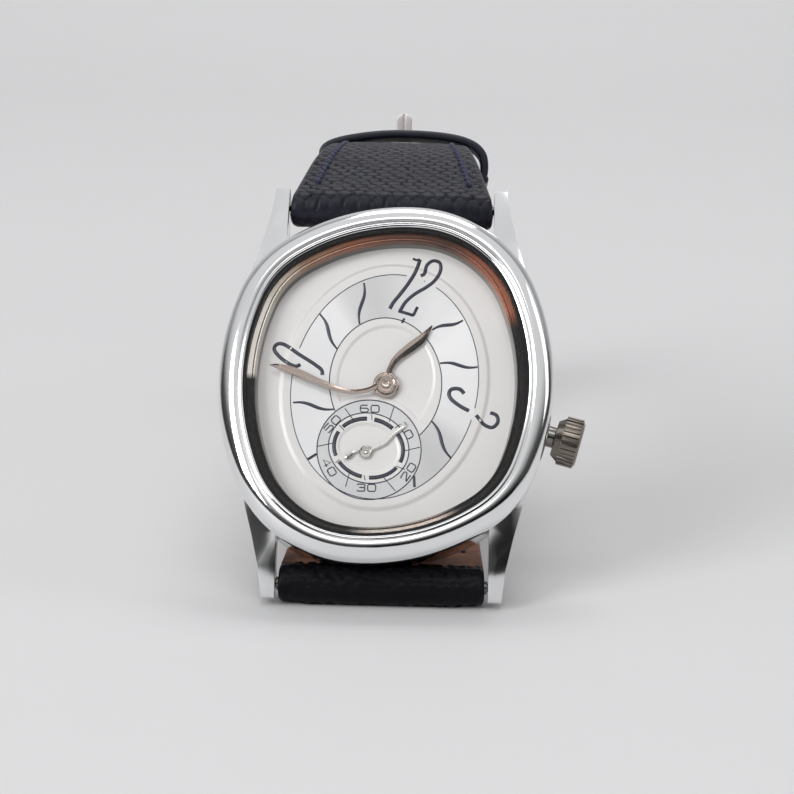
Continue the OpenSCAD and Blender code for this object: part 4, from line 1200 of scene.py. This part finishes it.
# kept CAD nodes
SLOT_LOOKS = {
    "steel": polished, "steel_dark": dark_steel, "glass": glass, "seal": rubber, "rehaut": dark_steel,
    "dial_paint": dial_white, "hand_rose": rose, "hand_silver": silver, "holder": plate_steel, "plate": plate_steel,
    "brass": brass, "wheel_steel": wheel_steel, "strap_leather": leather, "lining": suede,
    "keeper_leather": smooth_leather,
}
NODE_LOOKS = {"crown": crown_steel_painted_shade, "case_middle": case_steel, "case_back": satin, "crystal": glass}


def dress_nodes():
    """Looks for the CAD nodes that stay, and softened edges where they show."""
    for name, obj in nodes.items():
        slot = next((m.name.split(".")[0] for m in obj.data.materials if m), "")
        look = NODE_LOOKS.get(name) or SLOT_LOOKS.get(slot) or polished
        for k in range(len(obj.data.materials)):
            obj.data.materials[k] = look
        if obj.hide_render or look in (glass, rubber):
            continue
        weld = obj.modifiers.new("weld", "WELD")
        weld.merge_threshold = 0.000004
        bevel = obj.modifiers.new("bevel", "BEVEL")
        bevel.width = (0.14 if name == "case_middle" else 0.06) * MM
        bevel.segments = 3
        bevel.limit_method = "ANGLE"
        bevel.angle_limit = math.radians(28)
        bevel.harden_normals = False
        for p in obj.data.polygons:
            p.use_smooth = True


dress_nodes()


# floor and light
def toned(name, scale, low, high, tone, rough, specular):
    """A matt material with a slight mottle."""
    look = Look(name, Base_Color=tone, Roughness=rough, Specular_IOR_Level=specular)
    look.color(look.ramp(look.noise(scale, 2), low, high))
    return look.mat


def build_stage():
    rows = [(-2.0, 0.0), (0.5, 0.0)]
    rows += [(0.5 + 0.4 * sin(9 * k), 0.4 - 0.4 * cos(9 * k)) for k in range(1, 11)]
    rows += [(0.9, 2.2)]
    verts = [(x, y, z) for y, z in rows for x in (-2.5, 2.5)]
    faces = [(2 * i, 2 * i + 1, 2 * i + 3, 2 * i + 2) for i in range(len(rows) - 1)]
    mesh = new_mesh("floor", verts, faces, 1)
    for p in mesh.polygons:
        p.use_smooth = True
    low, high, tone = (0.71, 0.708, 0.712), (0.725, 0.723, 0.727), (0.72, 0.72, 0.73)
    mesh.materials.append(toned("pale_floor", 3, low, high, tone, 0.6, 0.1))
    obj = new_object("floor", mesh)


def turn_to(obj, centre, aim, axis):
    obj.location = centre
    obj.rotation_euler = (Vector(aim) - Vector(centre)).to_track_quat(axis, "Y").to_euler()


def card(name, centre, aim, size, tone):
    """A dark or coloured studio card, seen only in reflections."""
    w, h = size[0] / 2, size[1] / 2
    mesh = new_mesh(name, [(-w, -h, 0), (w, -h, 0), (w, h, 0), (-w, h, 0)], [(0, 1, 2, 3)], 1)
    mesh.materials.append(toned(name, 8, tone, tuple(c * 1.1 for c in tone), tone, 0.9, 0.0))
    obj = new_object(name, mesh)
    turn_to(obj, centre, aim, "Z")
    obj.visible_camera = False
    obj.visible_diffuse = False
    obj.visible_shadow = False


def lamp(name, centre, aim, size, power):
    data = bpy.data.lights.new(name, "AREA")
    data.shape = "RECTANGLE"
    data.size, data.size_y = size
    data.energy = power
    turn_to(new_object(name, data), centre, aim, "-Z")


def build_world():
    """Even light for the scene, and a graded room for what the metal mirrors."""
    world = bpy.data.worlds.new("studio")
    bpy.context.scene.world = world
    world.use_nodes = True
    tree = world.node_tree
    link = tree.links.new
    background = tree.nodes["Background"]
    background.inputs["Strength"].default_value = 0.42
    kinds = ("LightPath", "TexCoord", "SeparateXYZ", "ValToRGB")
    path, coords, split, ramp = (add_node(tree, kind) for kind in kinds)
    grades = ((0.0, 0.9), (0.03, 0.06), (0.26, 0.2), (0.4, 0.95), (0.56, 1.6), (1.0, 1.8))
    set_stops(ramp, [(height, (tone, tone, tone * 1.01)) for height, tone in grades])
    # sockets 0, 6 and 7 of a colour mix are its factor and its two colours
    mix = add_node(tree, "Mix", {6: (0.97, 0.98, 1.0, 1)}, data_type="RGBA")
    seen = add_node(tree, "Mix", {7: (1.68, 1.69, 1.71, 1)}, data_type="RGBA")
    link(coords.outputs["Generated"], split.inputs[0])
    link(split.outputs[2], ramp.inputs[0])
    link(path.outputs["Is Glossy Ray"], mix.inputs[0])
    link(ramp.outputs[0], mix.inputs[7])
    link(path.outputs["Is Camera Ray"], seen.inputs[0])
    link(mix.outputs[2], seen.inputs[6])
    link(seen.outputs[2], background.inputs["Color"])


build_stage()
build_world()
TARGET = (0, 0, 0.025)
lamp("top_softbox", (0.05, -0.75, 1.25), TARGET, (0.8, 0.5), 3.2)
lamp("back_softbox", (0.1, 0.55, 1.3), TARGET, (0.8, 0.5), 5)
lamp("left_softbox", (-0.75, -0.8, 0.55), TARGET, (0.5, 0.6), 6.5)
lamp("right_softbox", (0.95, -0.1, 0.5), TARGET, (0.3, 0.6), 0.8)
card("flag_low", (0.22, -0.5, 0), TARGET, (0.5, 0.22), (0.01, 0.01, 0.01))

bpy.context.scene.view_settings.view_transform = "Standard"
